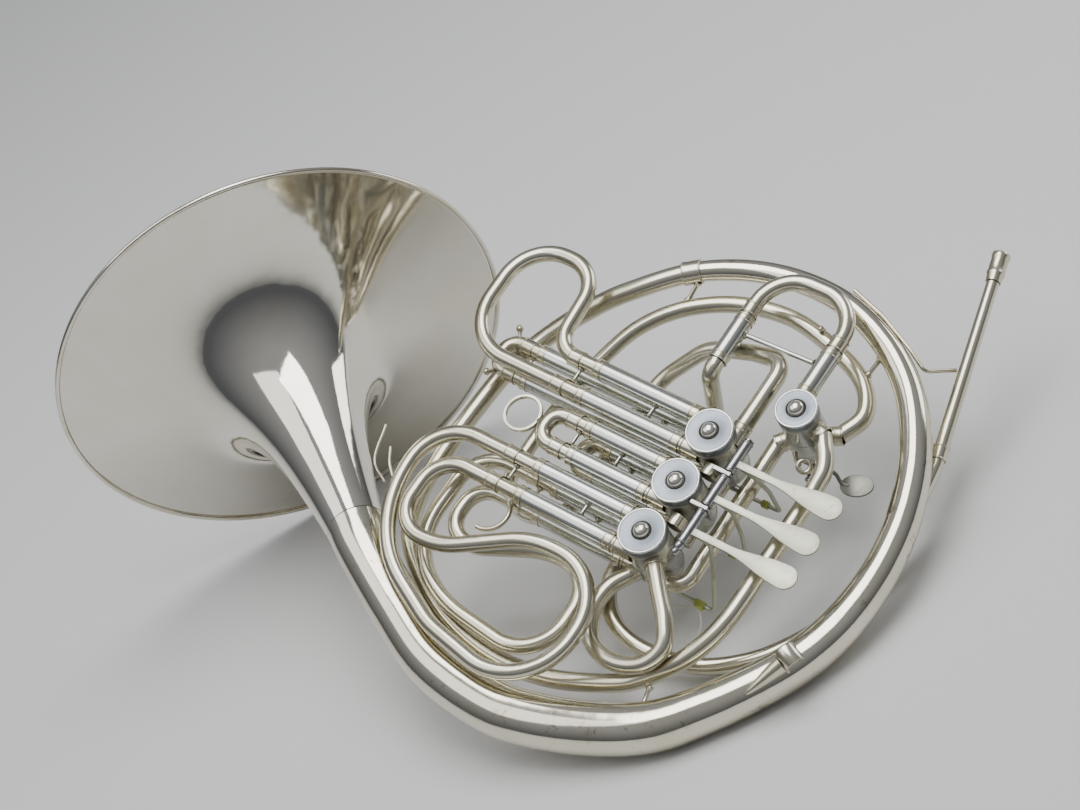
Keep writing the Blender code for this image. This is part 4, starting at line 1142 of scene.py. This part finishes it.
def make_string_ends():
    """The strings' knots on the levers' bars, and two loose ends on the third."""
    knot = Vector((33.0, VALVE_V[3] - STRING_BAR_OFFSET - 2.6, -56.0))
    wraps = wound_string(3, 29.0, 6)
    wraps += [torus(knot + Vector((k * 0.7, -0.3 * k, 0.2 * k)), (0.4, 1.0, 0.5 - 0.5 * k), 1.4,
                    0.65, 20, 8) for k in range(3)]
    piece("string_knot_3", wraps, "key_3", STRING)
    curl = smooth([knot, (39.0, -54.5, -53.5), (43.2, -60.5, -52.5), (44.6, -67.5, -52.0),
                   (42.3, -73.0, -52.0), (38.6, -72.4, -52.2), (38.0, -69.4, -52.5)])
    short = smooth([knot, (27.5, -51.5, -55.0), (22.0, -54.5, -53.0), (18.8, -56.0, -52.5)])
    piece("string_end_3", [sweep(curl, 0.5, 10), sweep(short, 0.5, 10)], "key_3", PALE_STRING)
    for number in (1, 2):
        piece(f"string_knot_{number}", wound_string(number, 30.0, 4), f"key_{number}", STRING)


def make_rod_ends():
    """Dark washers between the levers' hubs and posts, and the ball at the rod's end."""
    washers = [tube_ring(3.1, ROD_RADIUS, 0.45, -0.45, (ROD_U, v, ROD_W), ALONG_V, 32)
               for v in (43.4, 17.4, 19.9, -5.6, -8.0, -33.0)]
    piece("rod_washers", washers, "corpus", DARK)
    piece("rod_end_ball", [ball((ROD_U, -38.4, ROD_W), 3.0)], "corpus", STEEL)


# ---- Studio ----
CAMERA_SPOT = Vector((720.4, -433.2, 1386.2))  # mm, in the design axes
CAMERA_RIGHT = Vector((0.781, 0.553, -0.291))
CAMERA_UP = Vector((-0.382, 0.791, 0.478))
CAMERA_BACK = Vector((0.495, -0.262, 0.828))


TURN = TO_WORLD.to_3x3().normalized()
FLOOR_HALF = 6.0  # m
FLOOR_COLOUR = (0.70, 0.70, 0.69)
AIR_LOW = (0.10, 0.105, 0.12)
AIR_HIGH = (0.36, 0.37, 0.39)
LIT_SPOT = Vector((0.0, 0.0, 0.10))  # m


def show(name, data):
    """An object for some data, put in the scene."""
    item = bpy.data.objects.new(name, data)
    bpy.context.scene.collection.objects.link(item)
    return item


def make_camera():
    """A camera above the levers' side, looking down on the valves."""
    lens = bpy.data.cameras.new("camera")
    lens.lens = 90.0
    lens.sensor_width = 36.0
    lens.clip_end = 100.0
    camera = show("camera", lens)
    axes = Matrix((CAMERA_RIGHT, CAMERA_UP, CAMERA_BACK)).transposed()
    face = (TURN @ axes).to_quaternion()
    camera.matrix_world = Matrix.Translation(TO_WORLD @ CAMERA_SPOT) @ face.to_matrix().to_4x4()
    bpy.context.scene.camera = camera


def make_floor():
    """A plain pale floor."""
    ground = bpy.data.meshes.new("studio_floor")
    corners = [(-1, -1), (1, -1), (1, 1), (-1, 1)]
    ground.from_pydata([(FLOOR_HALF * x, FLOOR_HALF * y, 0.0) for x, y in corners], [],
                       [(0, 1, 2, 3)])
    floor = show("studio_floor", ground)
    pale, _, shader = new_material("studio_pale")
    feed(shader, {"Base Color": FLOOR_COLOUR, "Roughness": 0.9})
    ground.materials.append(pale)


def make_air():
    """Soft light from all round, darker near the horizon and paler overhead."""
    world = bpy.data.worlds.new("studio_air")
    bpy.context.scene.world = world
    world.use_nodes = True
    tree = world.node_tree
    way = add(tree, "ShaderNodeTexCoord", {}).outputs["Generated"]
    height = add(tree, "ShaderNodeSeparateXYZ", {"Vector": way}).outputs["Z"]
    air = blend(tree, ramp(tree, height, 0.05, 0.75), AIR_LOW, AIR_HIGH)
    feed(tree.nodes["Background"], {"Color": air, "Strength": 1.0})


def make_lamps():
    """Three soft boxes, placed about the lit spot from the camera's point of view."""
    right = TURN @ CAMERA_RIGHT
    up = TURN @ CAMERA_UP
    back = TURN @ CAMERA_BACK
    for name, way, distance, width, power in (
        ("key_light", up * 1.0 + back * 0.75 - right * 0.35, 1.7, 1.5, 27.0),
        ("fill_light", -right * 1.0 + back * 0.55 + up * 0.5, 1.9, 1.6, 10.0),
        ("rim_light", right * 0.9 + up * 0.9 - back * 0.1, 1.9, 1.0, 8.0),
    ):
        lamp = bpy.data.lights.new(name, "AREA")
        lamp.shape = "RECTANGLE"
        lamp.size = width
        lamp.size_y = width * 0.7
        lamp.energy = power
        way = way.normalized()
        face = way.to_track_quat("Z", "Y").to_matrix().to_4x4()
        show(name, lamp).matrix_world = Matrix.Translation(LIT_SPOT + way * distance) @ face


make_camera()
make_floor()
make_air()
make_lamps()
make_bell()
make_branch()
make_leadpipe()
make_main_tuning_slide()
make_slides()
make_valves()
make_ports()
make_connecting_tubes()
make_levers()
make_thumb_lever()
make_hand_pieces()
make_posts()
make_slide_grips()
make_wires()
make_string_ends()
make_rod_ends()
